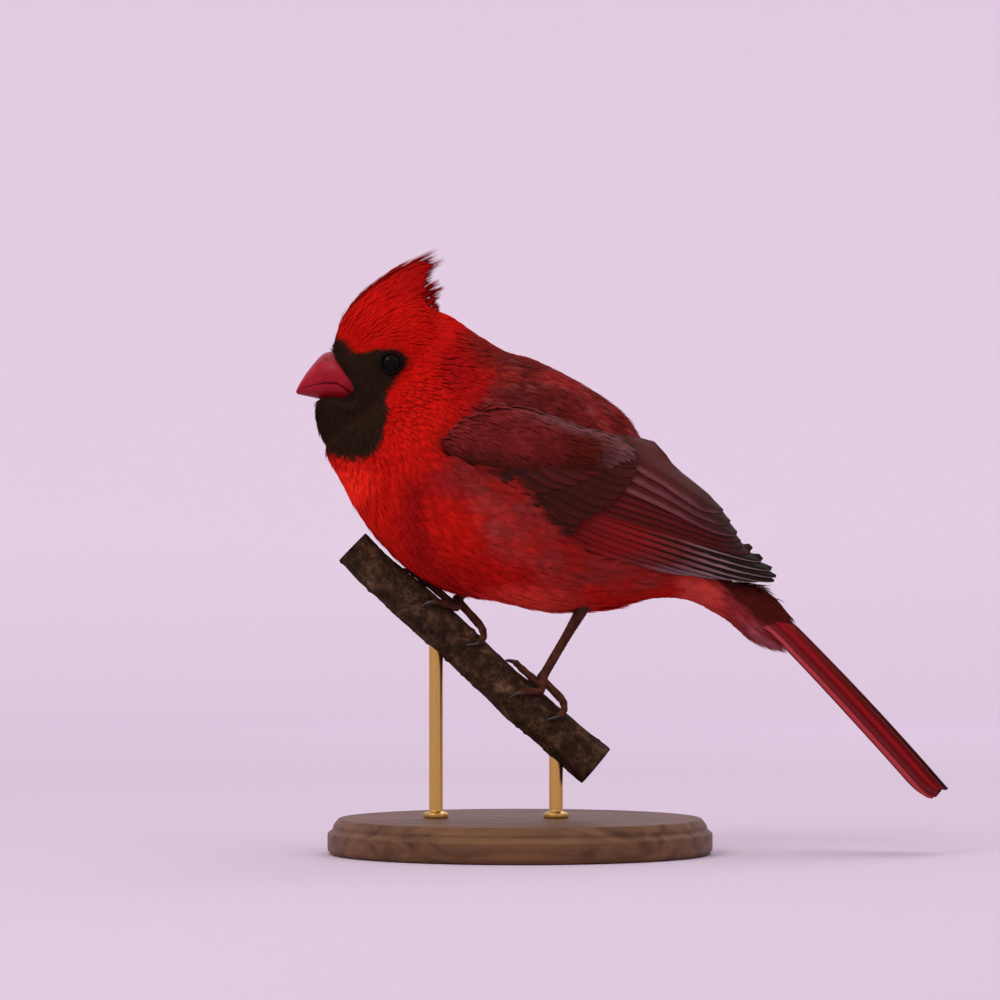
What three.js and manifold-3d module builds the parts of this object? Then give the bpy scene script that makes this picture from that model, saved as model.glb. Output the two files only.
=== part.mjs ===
// A male northern cardinal, life size, gripping a short cut length of branch on a small display stand.
// Millimetres, +Z up. The bird faces -X and its left side faces -Y. The origin is the middle of the
// underside of the stand's base.
import * as THREE from 'three';
import { mergeVertices } from 'three/addons/utils/BufferGeometryUtils.js';
import Module from 'manifold-3d';

const wasm = await Module();
wasm.setup();

// Driving dimensions
const birdLength = 217; // tip of the bill to tip of the tail, straight
const gap = 0.3; // between pieces that touch
const vaneThickness = 0.5;
const keepWithin = 0.03; // the surface moves less than this when needless triangles go
const bodyRoundness = 2.25; // superellipse power of the body's cross sections
const headRoundness = 2.15;
const billRoundness = 2.0;
const crestRoundness = 1.75;
const eyeRadius = 3.7;
const eyeProud = 0.9; // how far the eyeball stands out of the face
const perchSides = 14;
const baseRadius = 55;
const baseHeight = 10;
const rodRadius = 2;

// The side view is laid out on a grid of columns and rows; these two points span birdLength.
const billTip = [296, 393];
const tailTip = [941, 794];
const standColumn = 520; // over the middle of the base
const floorRow = 853;
const scale = birdLength / Math.hypot(tailTip[0] - billTip[0], tailTip[1] - billTip[1]);

// Stations of a loft: the column and row of its top and of its bottom, then the half width in mm.
const headStations = [
  [334, 344, 317, 401, 5.4],
  [338, 326, 314, 413, 6.7],
  [350, 308, 319, 436, 8.1],
  [368, 295, 334, 448, 10.2],
  [390, 289, 360, 453, 12.9],
  [412, 292, 390, 448, 13.5],
  [430, 302, 415, 436, 12.2],
  [442, 319, 434, 412, 9.4],
  [448, 344, 447, 378, 4.0],
];
const frontStations = [
  [437, 307, 323, 446, 9.6],
  [452, 314, 327, 458, 12.2],
  [475, 330, 338, 480, 17.6],
  [502, 347, 352, 506, 22.4],
  [530, 357, 376, 539, 24.8],
  [560, 371, 405, 567, 26.6],
];
const bodyStations = [
  ...frontStations,
  [590, 388, 445, 590, 27.2],
  [620, 410, 497, 602, 26.8],
  [645, 443, 545, 611, 24.8],
  [668, 478, 596, 611, 21.2],
  [690, 510, 643, 601, 16.4],
  [714, 542, 681, 600, 12.2],
  [738, 572, 715, 614, 8.8],
  [764, 584, 742, 634, 7.0],
  [792, 614, 768, 647, 5.0],
];
// The surface that the folded wings lie in, out to their tips
const wingStations = [
  ...frontStations,
  [592, 388, 445, 590, 27.6],
  [625, 411, 497, 602, 27.6],
  [655, 443, 545, 611, 26.2],
  [685, 469, 596, 611, 23.4],
  [708, 486, 642, 602, 19.8],
  [730, 514, 680, 600, 15.8],
  [748, 544, 712, 612, 12.2],
  [768, 561, 740, 628, 9.6],
  [790, 583, 772, 646, 7.6],
];
const billStations = [
  [346, 355, 362, 403, 7.5],
  [334, 351.5, 345, 404, 7.2],
  [326, 352.6, 333, 402, 6.5],
  [320, 356.5, 322, 399.5, 5.5],
  [313, 364.5, 313, 397.5, 4.2],
  [306, 373.5, 305, 395.8, 2.8],
  [300, 383, 299.5, 394.6, 1.5],
  [billTip[0], 391, 297.4, 394.2, 0.45],
];

// The crest's own body, under its feathers
const crestStations = [
  [344, 323, 365, 362, 5.6],
  [353, 306, 386, 352, 7.6],
  [368, 291, 406, 346, 8.3],
  [385, 279, 419, 338, 7.5],
  [402, 268.5, 429, 328, 5.9],
  [418, 261, 436, 316, 4.1],
  [429, 257.5, 439, 300, 2.6],
  [437, 255, 441, 278, 1.0],
];

// Outlines in the side view
const mouthLine = [
  [280, 391.5], [296, 392.2], [305, 388], [316, 385], [328, 383.5], [338, 384.5], [345, 388.5], [351, 395],
  [357, 403],
];
const billOpening = [
  [285, 351.2], [334, 351.2], [335.5, 360], [344, 371], [352.5, 382.5], [358, 394], [357, 404.5],
  [345, 405], [333, 403], [317, 399.6], [285, 399.6],
];
const maskOutline = [
  [285, 338], [333, 339], [344, 343.5], [352, 354], [362, 354], [376, 350.5], [393, 350], [403, 355],
  [407, 362.5], [402, 371], [395, 379], [385, 390], [382, 397], [385, 406], [382, 420], [379, 434],
  [374, 445], [365, 452], [348, 453], [335, 450], [325, 447], [285, 446],
];
const wingOutline = [
  [437, 443], [452, 427], [470, 414], [490, 407], [513, 405], [530, 407], [548, 414], [572, 424], [600, 433],
  [628, 434], [645, 430], [662, 445], [686, 465], [704, 477], [727, 505], [747, 539], [766, 551], [780, 565],
  [780, 580], [765, 583], [713, 574], [667, 570], [614, 562], [575, 554], [569, 540], [546, 533], [540, 519],
  [525, 501], [506, 468], [470, 463], [443, 453],
];

const eyeSpot = [392, 364];
const nostrilSpot = [327, 361];

// Perch: column and row of its middle line, and its radius in mm
const perchStations = [
  [352, 547, 5.6], [384, 578, 5.9], [423, 612, 6.3], [462, 647, 6.2], [490, 674, 6.1],
  [516, 698, 6.3], [545, 723, 6.4], [572, 746, 6.5], [596, 766, 6.7],
];
const rodColumns = { stand_rod_front: 436, stand_rod_rear: 556 };

const colours = {
  red: 0xb3140f, mask: 0x241a12, maroon: 0x52161a, tail: 0x8c1218, bill: 0xb8303a, eye: 0x120c0a,
  leg: 0x4e3024, bark: 0x4a3a2e, wood: 0x6b4a30, brass: 0xb08d4a,
};

// Helpers for points and outlines
const at = (column, row, y = 0) =>
  new THREE.Vector3((column - standColumn) * scale, y, (floorRow - row) * scale);

// Smooth value between the rows of a table of numbers, t counted in rows
function blend(table, t) {
  const i = Math.max(0, Math.min(Math.floor(t), table.length - 2));
  const u = t - i;
  const row = (k) => table[Math.max(0, Math.min(table.length - 1, k))];
  const [a, b, c, d] = [row(i - 1), row(i), row(i + 1), row(i + 2)];
  return b.map((_, k) => 0.5 * (2 * b[k] + (c[k] - a[k]) * u
    + (2 * a[k] - 5 * b[k] + 4 * c[k] - d[k]) * u ** 2
    + (3 * b[k] - a[k] - 3 * c[k] + d[k]) * u ** 3));
}

// An outline pushed out (or in) by a distance in mm
function outset(outline, distance) {
  const area = outline.reduce((sum, [x, y], i) => {
    const [nx, ny] = outline[(i + 1) % outline.length];
    return sum + x * ny - nx * y;
  }, 0);
  const turn = Math.sign(area) * distance / scale;
  return outline.map(([x, y], i) => {
    const [ax, ay] = outline[(i + outline.length - 1) % outline.length];
    const [bx, by] = outline[(i + 1) % outline.length];
    const first = new THREE.Vector2(y - ay, ax - x).normalize();
    const second = new THREE.Vector2(by - y, x - bx).normalize();
    const normal = first.add(second).normalize();
    return [x + normal.x * turn, y + normal.y * turn];
  });
}

// Helpers for solids
function geometryOf(points, faces) {
  const geometry = new THREE.BufferGeometry();
  geometry.setAttribute('position', new THREE.Float32BufferAttribute(points.flatMap((p) => p.toArray()), 3));
  const volume = faces.reduce((sum, [a, b, c]) =>
    sum + points[a].dot(new THREE.Vector3().crossVectors(points[b], points[c])), 0);
  geometry.setIndex(faces.flatMap(([a, b, c]) => (volume < 0 ? [a, c, b] : [a, b, c])));
  return geometry;
}

function solidOf(geometry) {
  geometry.deleteAttribute('normal');
  geometry.deleteAttribute('uv');
  const merged = mergeVertices(geometry, 1e-4);
  return new wasm.Manifold(new wasm.Mesh({
    numProp: 3,
    vertProperties: new Float32Array(merged.attributes.position.array),
    triVerts: new Uint32Array(merged.index.array),
  }));
}

const union = (solids) => wasm.Manifold.union(solids);
const behind = (solid, cut, clearance) => solid.trimByPlane(cut.normal, cut.offset + clearance);
const before = (solid, cut) => solid.trimByPlane(cut.normal.map((v) => -v), -cut.offset);
const largest = (solid) => solid.decompose().sort((a, b) => b.volume() - a.volume())[0];

// A closed skin over a row of rings, each end closed on its middle
function skinOver(rings) {
  const sides = rings[0].length;
  const points = rings.flat();
  const faces = [];
  for (let i = 0; i + 1 < rings.length; i++) {
    for (let k = 0; k < sides; k++) {
      const a = i * sides + k;
      const b = i * sides + (k + 1) % sides;
      faces.push([a, b, b + sides], [a, b + sides, a + sides]);
    }
  }
  const last = (rings.length - 1) * sides;
  const middle = (ring) => ring.reduce((sum, p) => sum.add(p), new THREE.Vector3()).divideScalar(sides);
  points.push(middle(rings[0]), middle(rings[rings.length - 1]));
  for (let k = 0; k < sides; k++) {
    const next = (k + 1) % sides;
    faces.push([points.length - 2, next, k], [points.length - 1, last + k, last + next]);
  }
  return solidOf(geometryOf(points, faces));
}

// A ring of a body section, from its top and bottom points and half width, grown by some mm
function sectionRing([topColumn, topRow, lowColumn, lowRow, half], sides, power, grow) {
  const top = at(topColumn, topRow);
  const low = at(lowColumn, lowRow);
  const middle = top.clone().lerp(low, 0.5);
  const up = top.sub(low).multiplyScalar(0.5);
  up.setLength(up.length() + grow);
  const round = (v) => Math.sign(v) * Math.abs(v) ** (2 / power);
  return Array.from({ length: sides }, (_, k) => {
    const angle = (2 * Math.PI * k) / sides;
    return middle.clone().addScaledVector(up, round(Math.cos(angle)))
      .setY((half + grow) * round(Math.sin(angle)));
  });
}

function bodyLoft(stations, { power, sides, from = 0, to = stations.length - 1, steps, grow = 0 }) {
  return skinOver(Array.from({ length: steps + 1 }, (_, i) =>
    sectionRing(blend(stations, from + ((to - from) * i) / steps), sides, power, grow)));
}

// Half width of a loft at a point of the side view
function halfWidthAt(stations, power, column, row) {
  const side = (t) => {
    const [topColumn, topRow, lowColumn, lowRow] = blend(stations, t);
    return (column - lowColumn) * (topRow - lowRow) - (row - lowRow) * (topColumn - lowColumn);
  };
  let low = 0;
  let high = stations.length - 1;
  const start = Math.sign(side(low));
  for (let i = 0; i < 24; i++) {
    const middle = (low + high) / 2;
    if (Math.sign(side(middle)) === start) low = middle;
    else high = middle;
  }
  const [topColumn, topRow, lowColumn, lowRow, half] = blend(stations, low);
  const along = [topColumn - lowColumn, topRow - lowRow];
  const reach = (column - lowColumn) * along[0] + (row - lowRow) * along[1];
  const share = reach / (along[0] ** 2 + along[1] ** 2);
  const height = Math.min(0.985, Math.abs(2 * share - 1));
  return half * (1 - height ** power) ** (1 / power);
}

// A prism through the body, from an outline of the side view
function prism(outline, fromY = -60, toY = 60) {
  const shape = new THREE.Shape(outline.map(([column, row]) => {
    const point = at(column, row);
    return new THREE.Vector2(point.x, point.z);
  }));
  const geometry = new THREE.ExtrudeGeometry(shape, { depth: toY - fromY, bevelEnabled: false });
  geometry.rotateX(Math.PI / 2);
  geometry.translate(0, toY, 0);
  return solidOf(geometry);
}

// A bent plate from rows of [outer, inner] point pairs, split into triangles alike on both faces
function plate(rows) {
  const across = rows[0].length;
  const points = rows.flat().flat();
  const outer = (i, j) => 2 * (i * across + j);
  const inner = (i, j) => outer(i, j) + 1;
  const faces = [];
  for (let i = 0; i + 1 < rows.length; i++) {
    for (let j = 0; j + 1 < across; j++) {
      const [a, b, c, d] = [[i, j], [i, j + 1], [i + 1, j + 1], [i + 1, j]];
      faces.push([outer(...a), outer(...b), outer(...c)], [outer(...a), outer(...c), outer(...d)]);
      faces.push([inner(...a), inner(...c), inner(...b)], [inner(...a), inner(...d), inner(...c)]);
    }
  }
  const rim = [];
  for (let j = 0; j + 1 < across; j++) rim.push([[0, j], [0, j + 1]]);
  for (let i = 0; i + 1 < rows.length; i++) rim.push([[i, across - 1], [i + 1, across - 1]]);
  for (let j = across - 1; j > 0; j--) rim.push([[rows.length - 1, j], [rows.length - 1, j - 1]]);
  for (let i = rows.length - 1; i > 0; i--) rim.push([[i, 0], [i - 1, 0]]);
  for (const [p, q] of rim) {
    faces.push([outer(...q), outer(...p), inner(...p)], [outer(...q), inner(...p), inner(...q)]);
  }
  return solidOf(geometryOf(points, faces));
}

// A round tapering tube through points, with one radius for each
function tube(points, radii, sides = 8) {
  let normal = new THREE.Vector3(0, 1, 0);
  const rings = points.map((point, i) => {
    const ahead = points[Math.min(i + 1, points.length - 1)];
    const along = ahead.clone().sub(points[Math.max(i - 1, 0)]).normalize();
    normal = normal.clone().addScaledVector(along, -normal.dot(along)).normalize();
    const other = new THREE.Vector3().crossVectors(along, normal);
    return Array.from({ length: sides }, (_, k) => {
      const angle = (2 * Math.PI * k) / sides;
      return point.clone().addScaledVector(normal, radii[i] * Math.cos(angle))
        .addScaledVector(other, radii[i] * Math.sin(angle));
    });
  });
  return skinOver(rings);
}

const object = new THREE.Group();
function addNode(name, solid, colour, roughness = 0.8, metalness = 0) {
  const { vertProperties, triVerts } = largest(solid.simplify(keepWithin)).getMesh();
  const geometry = new THREE.BufferGeometry();
  geometry.setAttribute('position', new THREE.Float32BufferAttribute(vertProperties, 3));
  geometry.setIndex(Array.from(triVerts));
  geometry.computeVertexNormals();
  const material = new THREE.MeshStandardMaterial({ color: colour, roughness, metalness });
  const mesh = new THREE.Mesh(geometry, material);
  mesh.name = name;
  object.add(mesh);
}

// Eyes, set so that eyeProud of the ball stands out of the face
const eyeDepth = halfWidthAt(headStations, headRoundness, ...eyeSpot) - eyeRadius + eyeProud;
function eyeball(side, grow = 0) {
  const geometry = new THREE.SphereGeometry(eyeRadius + grow, 12, 8);
  geometry.rotateX(Math.PI / 2);
  const place = at(...eyeSpot, side * eyeDepth);
  geometry.translate(place.x, place.y, place.z);
  return solidOf(geometry);
}

// The lids are a low ring round each eye
function lids(side) {
  const geometry = new THREE.TorusGeometry(2.95, 0.55, 5, 14);
  geometry.rotateX(Math.PI / 2);
  geometry.scale(1.08, 1, 1);
  const place = at(...eyeSpot, side * (eyeDepth + eyeRadius - eyeProud - 0.05));
  geometry.translate(place.x, place.y, place.z);
  return solidOf(geometry);
}

// Bill, parted by the line of the mouth
const billWhole = bodyLoft(billStations, { power: billRoundness, sides: 14, steps: 8 });
const billClearance = bodyLoft(billStations, { power: billRoundness, sides: 14, steps: 8, grow: gap });
const underMouth = [...mouthLine, [372, 412], [280, 412]];
const nostrilDepth = halfWidthAt(billStations.slice().reverse(), billRoundness, ...nostrilSpot);
const nostrils = [-1, 1].map((side) => {
  const geometry = new THREE.SphereGeometry(1, 8, 5);
  geometry.scale(1.15, 0.9, 0.75);
  const place = at(...nostrilSpot, side * nostrilDepth);
  geometry.translate(place.x, place.y, place.z);
  return solidOf(geometry);
});
const billUpper = billWhole.subtract(prism(outset(underMouth, gap / 2))).subtract(union(nostrils));
const billLower = billWhole.intersect(prism(outset(underMouth, -gap / 2)));

// Crest: rows of feathers from the forehead back, each with its root and tip in the side view, how far it
// bows outwards in grid units, and how many stand on each side of the middle one
const crestRows = [
  { root: [336, 335], tip: [353, 302], bow: 3, beside: 1 },
  { root: [343, 322], tip: [372, 284], bow: 4, beside: 1 },
  { root: [355, 307], tip: [397, 265.5], bow: 5, beside: 1 },
  { root: [372, 297], tip: [437, 249], bow: 7, beside: 1 },
  { root: [396, 290], tip: [446, 257], bow: 4, beside: 0 },
  { root: [410, 290], tip: [437, 269], bow: 0, beside: 0 },
  { root: [414, 296], tip: [442, 278], bow: 0, beside: 0 },
  { root: [421, 302], tip: [444, 288], bow: 0, beside: 0 },
  { root: [427, 308], tip: [440, 301], bow: 0, beside: 0 },
];
const crestWidth = 4.2;

function crestFeather(row, place) {
  const root = at(...row.root);
  const lie = at(...row.tip).sub(root);
  const out = new THREE.Vector3(-lie.z, 0, lie.x).normalize();
  const share = 1 - 0.11 * Math.abs(place);
  const roll = place * 0.9;
  const across = new THREE.Vector3(0, Math.cos(roll), 0).addScaledVector(out, -Math.sin(roll));
  const facing = new THREE.Vector3(0, Math.sin(roll), 0).addScaledVector(out, Math.cos(roll));
  const shape = [[-0.12, 0.55], [0.25, 1], [0.62, 0.8], [1, 0.16]]; // share of length, share of width
  return plate(shape.map(([along, wide]) => {
    const middle = root.clone().addScaledVector(lie, along * share);
    middle.addScaledVector(out, row.bow * scale * 4 * along * (1 - along));
    middle.addScaledVector(out, -1.5 * Math.abs(place));
    middle.y += place * (along < 0 ? 2.6 : 3.2 - 2.3 * along);
    return [-1, 1].map((edge) => {
      const rim = middle.clone().addScaledVector(across, (edge * wide * crestWidth) / 2);
      const outside = rim.clone().addScaledVector(facing, vaneThickness / 2);
      return [outside, rim.addScaledVector(facing, -vaneThickness / 2)];
    });
  }));
}
const crest = crestRows.flatMap((row) =>
  Array.from({ length: 2 * row.beside + 1 }, (_, k) => crestFeather(row, k - row.beside)));

// Head and mask, parted along the edge of the black face
const headSpec = { power: headRoundness, sides: 18, steps: 10 };
const crestSpec = { power: crestRoundness, sides: 12, steps: 9 };
const headWhole = union([bodyLoft(headStations, headSpec), bodyLoft(crestStations, crestSpec)]);
const headClearance = union([
  bodyLoft(headStations, { ...headSpec, grow: gap }),
  bodyLoft(crestStations, { ...crestSpec, grow: gap }),
]);
const eyeSockets = union([eyeball(-1, gap), eyeball(1, gap)]);
const maskRegion = prism(outset(maskOutline, -gap / 2));
const beyondMask = prism(outset(maskOutline, gap / 2));
const mask = union([headWhole, lids(-1), lids(1)]).intersect(maskRegion)
  .subtract(prism(outset(billOpening, gap))).subtract(billClearance).subtract(eyeSockets);
const head = union([headWhole, ...crest]).subtract(beyondMask).subtract(eyeSockets).subtract(billClearance);

// Wing feathers lie in the surface of wingStations: a point of it, raised by some mm along its normal
function wingPoint(side, column, row, height) {
  const half = (c, r) => halfWidthAt(wingStations, bodyRoundness, c, r);
  const step = 2;
  const slope = (a, b) => THREE.MathUtils.clamp((a - b) / (2 * step * scale), -1.4, 1.4);
  const slopeX = slope(half(column + step, row), half(column - step, row));
  const slopeZ = slope(half(column, row - step), half(column, row + step));
  const normal = new THREE.Vector3(-slopeX, 1, -slopeZ).normalize();
  const point = at(column, row, half(column, row)).addScaledVector(normal, height);
  return point.setY(side * Math.max(point.y, 0.2));
}

// One wing feather. lift is the height of its lower edge, and its upper edge dips under the next feather.
// Shapes of vanes as shares of their length and of their width
const flightShape = [[0, 0.6], [0.28, 1], [0.54, 1], [0.8, 0.88], [1, 0.22]];
const covertShape = [[0, 0.6], [0.4, 1], [0.8, 0.9], [1, 0.25]];
function wingFeather(side, { root, tip, width, bow, lift, dip, sink, shape }) {
  const axis = new THREE.Vector2(tip[0] - root[0], tip[1] - root[1]);
  const up = new THREE.Vector2(axis.y, -axis.x).normalize();
  return plate(shape.map(([along, wide]) => {
    const bend = bow * 4 * along * (1 - along);
    const middle = [root[0] + axis.x * along + up.x * bend, root[1] + axis.y * along + up.y * bend];
    const low = lift - sink * Math.max(0, 1 - along / 0.3);
    return [-1, 1].map((edge) => {
      const reach = (edge * wide * width) / 2 / scale;
      const height = low - (dip * (edge + 1) * wide) / 2;
      const spot = [middle[0] + up.x * reach, middle[1] + up.y * reach];
      return [wingPoint(side, ...spot, height), wingPoint(side, ...spot, height - vaneThickness)];
    });
  }));
}

// A tier of wing feathers, from the lower edge of the wing upwards
function wingTier(side, { roots, tips, widths, bow, lift, dip, sink, shape }) {
  return tips.map((tip, k) => {
    const share = k / (tips.length - 1);
    const mix = (pair) => pair[0] + (pair[1] - pair[0]) * share;
    const root = [mix([roots[0][0], roots[1][0]]), mix([roots[0][1], roots[1][1]])];
    return wingFeather(side, { root, tip, width: mix(widths), bow: mix(bow), lift, dip, sink, shape });
  });
}

const wingTiers = [
  { // primaries
    roots: [[534, 516], [546, 490]],
    tips: [[742, 577], [763, 579], [777, 575], [774, 567], [762, 556], [751, 548]],
    widths: [6.4, 5.6], bow: [-7, -1], lift: -0.9, dip: 1.6, sink: 0.3, shape: flightShape,
  },
  { // secondaries and tertials
    roots: [[552, 486], [590, 448]],
    tips: [[741, 543], [738, 534], [732, 524], [723, 509]],
    widths: [6.4, 10.5], bow: [0, 6], lift: -0.75, dip: 1.6, sink: 0.3, shape: flightShape,
  },
  { // primary coverts
    roots: [[508, 484], [520, 474]],
    tips: [[568, 536], [575, 526]],
    widths: [6, 6], bow: [-3, -1], lift: 0.15, dip: 1.2, sink: 0.9, shape: covertShape,
  },
  { // greater coverts
    roots: [[524, 478], [582, 446]],
    tips: [[587, 519], [604, 508], [618, 496], [628, 482], [635, 467]],
    widths: [7.4, 8.4], bow: [-2, 3], lift: 0.35, dip: 1.3, sink: 1.0, shape: covertShape,
  },
  { // median coverts
    roots: [[508, 462], [574, 438]],
    tips: [[551, 491], [575, 483], [598, 473], [618, 459]],
    widths: [8.0, 8.0], bow: [-1, 1], lift: 0.95, dip: 1.2, sink: 1.0, shape: covertShape,
  },
];

// The arm and the bed of the flight feathers, then the cap of small coverts over the shoulder, each as rows
// of lower and upper edge
const armRows = [
  [455, 452, 458, 428], [490, 462, 492, 413], [520, 484, 525, 412], [548, 518, 560, 420],
  [600, 540, 618, 437], [655, 552, 660, 450], [705, 563, 700, 482], [745, 572, 727, 512],
  [768, 574, 752, 549],
];
const capRows = [
  [438, 447, 439, 441], [453, 455, 455, 425], [480, 463, 482, 411], [510, 471, 513, 407],
  [540, 475, 545, 415], [568, 472, 575, 427], [590, 461, 596, 436],
];

function wingPatch(side, rows, across, under, over) {
  return plate(rows.map(([lowColumn, lowRow, highColumn, highRow], i) =>
    Array.from({ length: across }, (_, j) => {
      const share = j / (across - 1);
      const spot = [lowColumn + (highColumn - lowColumn) * share, lowRow + (highRow - lowRow) * share];
      return [wingPoint(side, ...spot, over(share, i / (rows.length - 1))), wingPoint(side, ...spot, under)];
    })));
}

// The wings lie on a core of the body, wingDepth under their own surface
const wingDepth = 4.0;
const coreSpec = { power: bodyRoundness, sides: 20, steps: 14 };
const wingCore = bodyLoft(wingStations, { ...coreSpec, grow: -wingDepth });
const wingBed = bodyLoft(wingStations, { ...coreSpec, grow: gap - wingDepth });
const wingRoom = prism(outset(wingOutline, 1 + gap)).subtract(wingCore);

function wing(side) {
  const arm = wingPatch(side, armRows, 4, -2.9, (share, length) => -1.2 - 0.9 * length);
  const swell = (share, length) =>
    Math.sin(Math.PI * (0.08 + 0.84 * share)) * Math.sin(Math.PI * (0.12 + 0.7 * length));
  const dome = (share, length) => -0.9 + 2.1 * swell(share, length);
  const cap = wingPatch(side, capRows, 5, -2.8, dome);
  return union([arm, cap, ...wingTiers.flatMap((tier) => wingTier(side, tier))])
    .intersect(prism(outset(wingOutline, 1))).subtract(wingBed);
}

// Legs and feet. Points on the perch: distance in stations along it, angle round it from its top towards -Y
function perchPoint(station, angle, height) {
  const [column, row, radius] = blend(perchStations, station);
  const [nextColumn, nextRow] = blend(perchStations, station + 0.05);
  const along = at(nextColumn, nextRow).sub(at(column, row)).normalize();
  const top = new THREE.Vector3(-along.z, 0, along.x);
  return at(column, row).addScaledVector(top, Math.cos(angle) * (radius + height))
    .setY(-Math.sin(angle) * (radius + height));
}

// A toe as a list of [station, angle, height over the bark], thinning from its knuckle to the claw's point
function toe(joint, path, thickness, grow) {
  const points = [joint, ...path.map(([station, angle, height]) => perchPoint(station, angle, height))];
  const radii = points.map((_, i) => {
    const share = i / (points.length - 1);
    if (i === points.length - 1) return 0.22 + grow;
    return grow + thickness * (share > 0.7 ? 0.72 : 1.02 - 0.2 * share + (i % 2 ? 0.1 : -0.05));
  });
  return tube(points, radii, 7);
}

function leg({ hip, joint, halluxPath, frontPaths }, grow = 0) {
  const shank = tube([0, 0.12, 0.5, 0.9, 1].map((share) => hip.clone().lerp(joint, share)),
    [1.9, 1.75, 1.35, 1.2, 1.5].map((radius) => radius + grow), 8);
  const ankle = new THREE.SphereGeometry(1.55 + grow, 8, 6);
  ankle.translate(joint.x, joint.y, joint.z);
  const toes = [halluxPath, ...frontPaths].map((path) => toe(joint, path, 1.17, grow));
  return union([shank, solidOf(ankle), ...toes]);
}

// Toes of a foot whose joint stands over a station of the perch, forward being up the branch
function footPaths(station, lean) {
  const hallux = [
    [0.3, 0.1, 2.4], [0.5, 0.3, 2.2], [0.62, 0.62, 1.5], [0.58, 1.0, 0.75], [0.42, 1.38, 0.15],
  ];
  const middle = [
    [-0.3, 0, 1.4], [-0.65, -0.05, 1.15], [-1.0, -0.15, 1.1], [-1.28, -0.3, 1.2], [-1.5, -0.45, 0.05],
  ];
  const near = [[-0.2, 0.45, 1.3], [-0.42, 0.85, 1.1], [-0.6, 1.2, 1.2], [-0.7, 1.62, 0.1]];
  const far = near.map(([along, angle, height]) => [along - 0.1, -angle * 0.95, height]);
  const place = (path, tilt) => path.map(([along, angle, height]) => [station + along, angle + tilt, height]);
  return { halluxPath: place(hallux, 0), frontPaths: [middle, near, far].map((path) => place(path, lean)) };
}

const legPlans = {
  left: { hip: at(588, 598, -9.5), joint: at(541.5, 678.5, -2.6), ...footPaths(5.55, 0.15) },
  right: { hip: at(482, 574, 8.5), joint: at(457, 600, 2.4), ...footPaths(2.6, -0.2) },
};
// Each leg parts into a shank and a foot just over the ankle
const footHeight = 2.4;
const legs = {};
for (const [side, plan] of Object.entries(legPlans)) {
  const whole = leg(plan);
  const normal = plan.hip.clone().sub(plan.joint).normalize();
  const cut = { normal: normal.toArray(), offset: normal.dot(plan.joint) + footHeight };
  legs[`leg_${side}`] = behind(whole, cut, gap);
  legs[`foot_${side}`] = before(whole, cut);
}
const legRoom = union(Object.values(legPlans).flatMap((plan) => {
  const above = plan.hip.clone().add(plan.hip).sub(plan.joint);
  const socket = plan.hip.clone().lerp(above, 0.06);
  const below = plan.hip.clone().lerp(plan.joint, 0.02);
  return [leg(plan, gap), tube([socket, below], [2.3, 2.3], 8)];
}));

// Body: one loft, parted across the neck and before the tail
const bodyWhole = bodyLoft(bodyStations, { power: bodyRoundness, sides: 22, steps: 18 });
function cutAcross(stations, t) {
  const [topColumn, topRow, lowColumn, lowRow] = blend(stations, t);
  const along = at(topColumn, topRow).sub(at(lowColumn, lowRow));
  const normal = new THREE.Vector3(along.z, 0, -along.x).normalize();
  return { normal: normal.toArray(), offset: normal.dot(at(lowColumn, lowRow)) };
}
const neckCut = cutAcross(bodyStations, 2.6);
const tailCut = cutAcross(bodyStations, 11.1);
const neck = before(bodyWhole, neckCut).subtract(headClearance).subtract(wingRoom);
const torso = before(behind(bodyWhole, neckCut, gap), tailCut)
  .subtract(headClearance).subtract(wingRoom).subtract(legRoom);

// Tail: a pair of middle feathers over five on each side, stacked like a roof
const tailRoot = [735, 598];
const tailFeathersBeside = 5;
const tailPitch = 0.85;
const tailRise = [3.2, 6.6]; // how far the top feather lies above the tail's line, at the root and once clear of it
const tailFall = 4.1; // how much of that is lost again at the tip
const tailLie = at(...tailTip).sub(at(...tailRoot));
const tailUp = new THREE.Vector3(-tailLie.z, 0, tailLie.x).normalize();

function tailFeather({ level, innerY, outerY, drop, share }) {
  const shape = [[0, 0.4], [0.25, 0.8], [0.45, 0.93], [0.7, 1], [0.9, 0.97], [0.975, 0.72], [1, 0.3]];
  return plate(shape.map(([along, wide]) => {
    const spread = 0.45 + 0.55 * Math.min(1, along * 2.2);
    const middle = at(...tailRoot).addScaledVector(tailLie, along * share);
    const rise = tailRise[0] + (tailRise[1] - tailRise[0]) * Math.min(1, along / 0.2);
    middle.addScaledVector(tailUp, rise - tailFall * along ** 2 - level * tailPitch);
    const centreY = ((innerY + outerY) / 2) * spread;
    const half = ((outerY - innerY) / 2) * wide * spread;
    return [-1, 1].map((edge) => {
      const outerEdge = edge === Math.sign(outerY || 1);
      const rim = middle.clone().addScaledVector(tailUp, outerEdge ? -drop * wide : 0)
        .setY(centreY + edge * Math.abs(half));
      return [rim.clone(), rim.addScaledVector(tailUp, -vaneThickness)];
    });
  }));
}
const tailFeathers = [
  tailFeather({ level: 0, innerY: -4.6, outerY: 6.2, drop: 0.9, share: 1.01 }),
  tailFeather({ level: 1, innerY: 4.6, outerY: -6.2, drop: 0.9, share: 1.0 }),
];
for (let k = 0; k < tailFeathersBeside; k++) {
  for (const side of [-1, 1]) {
    const outerY = side * (7.2 + 0.75 * k);
    tailFeathers.push(tailFeather({
      level: k + 2, innerY: side * 0.3, outerY, drop: 1.2 + 0.2 * k, share: 0.995 - 0.006 * (k % 3),
    }));
  }
}
const tailCoverts = behind(bodyWhole, tailCut, gap);
const tail = union([tailCoverts, ...tailFeathers]).subtract(wingRoom);

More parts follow.
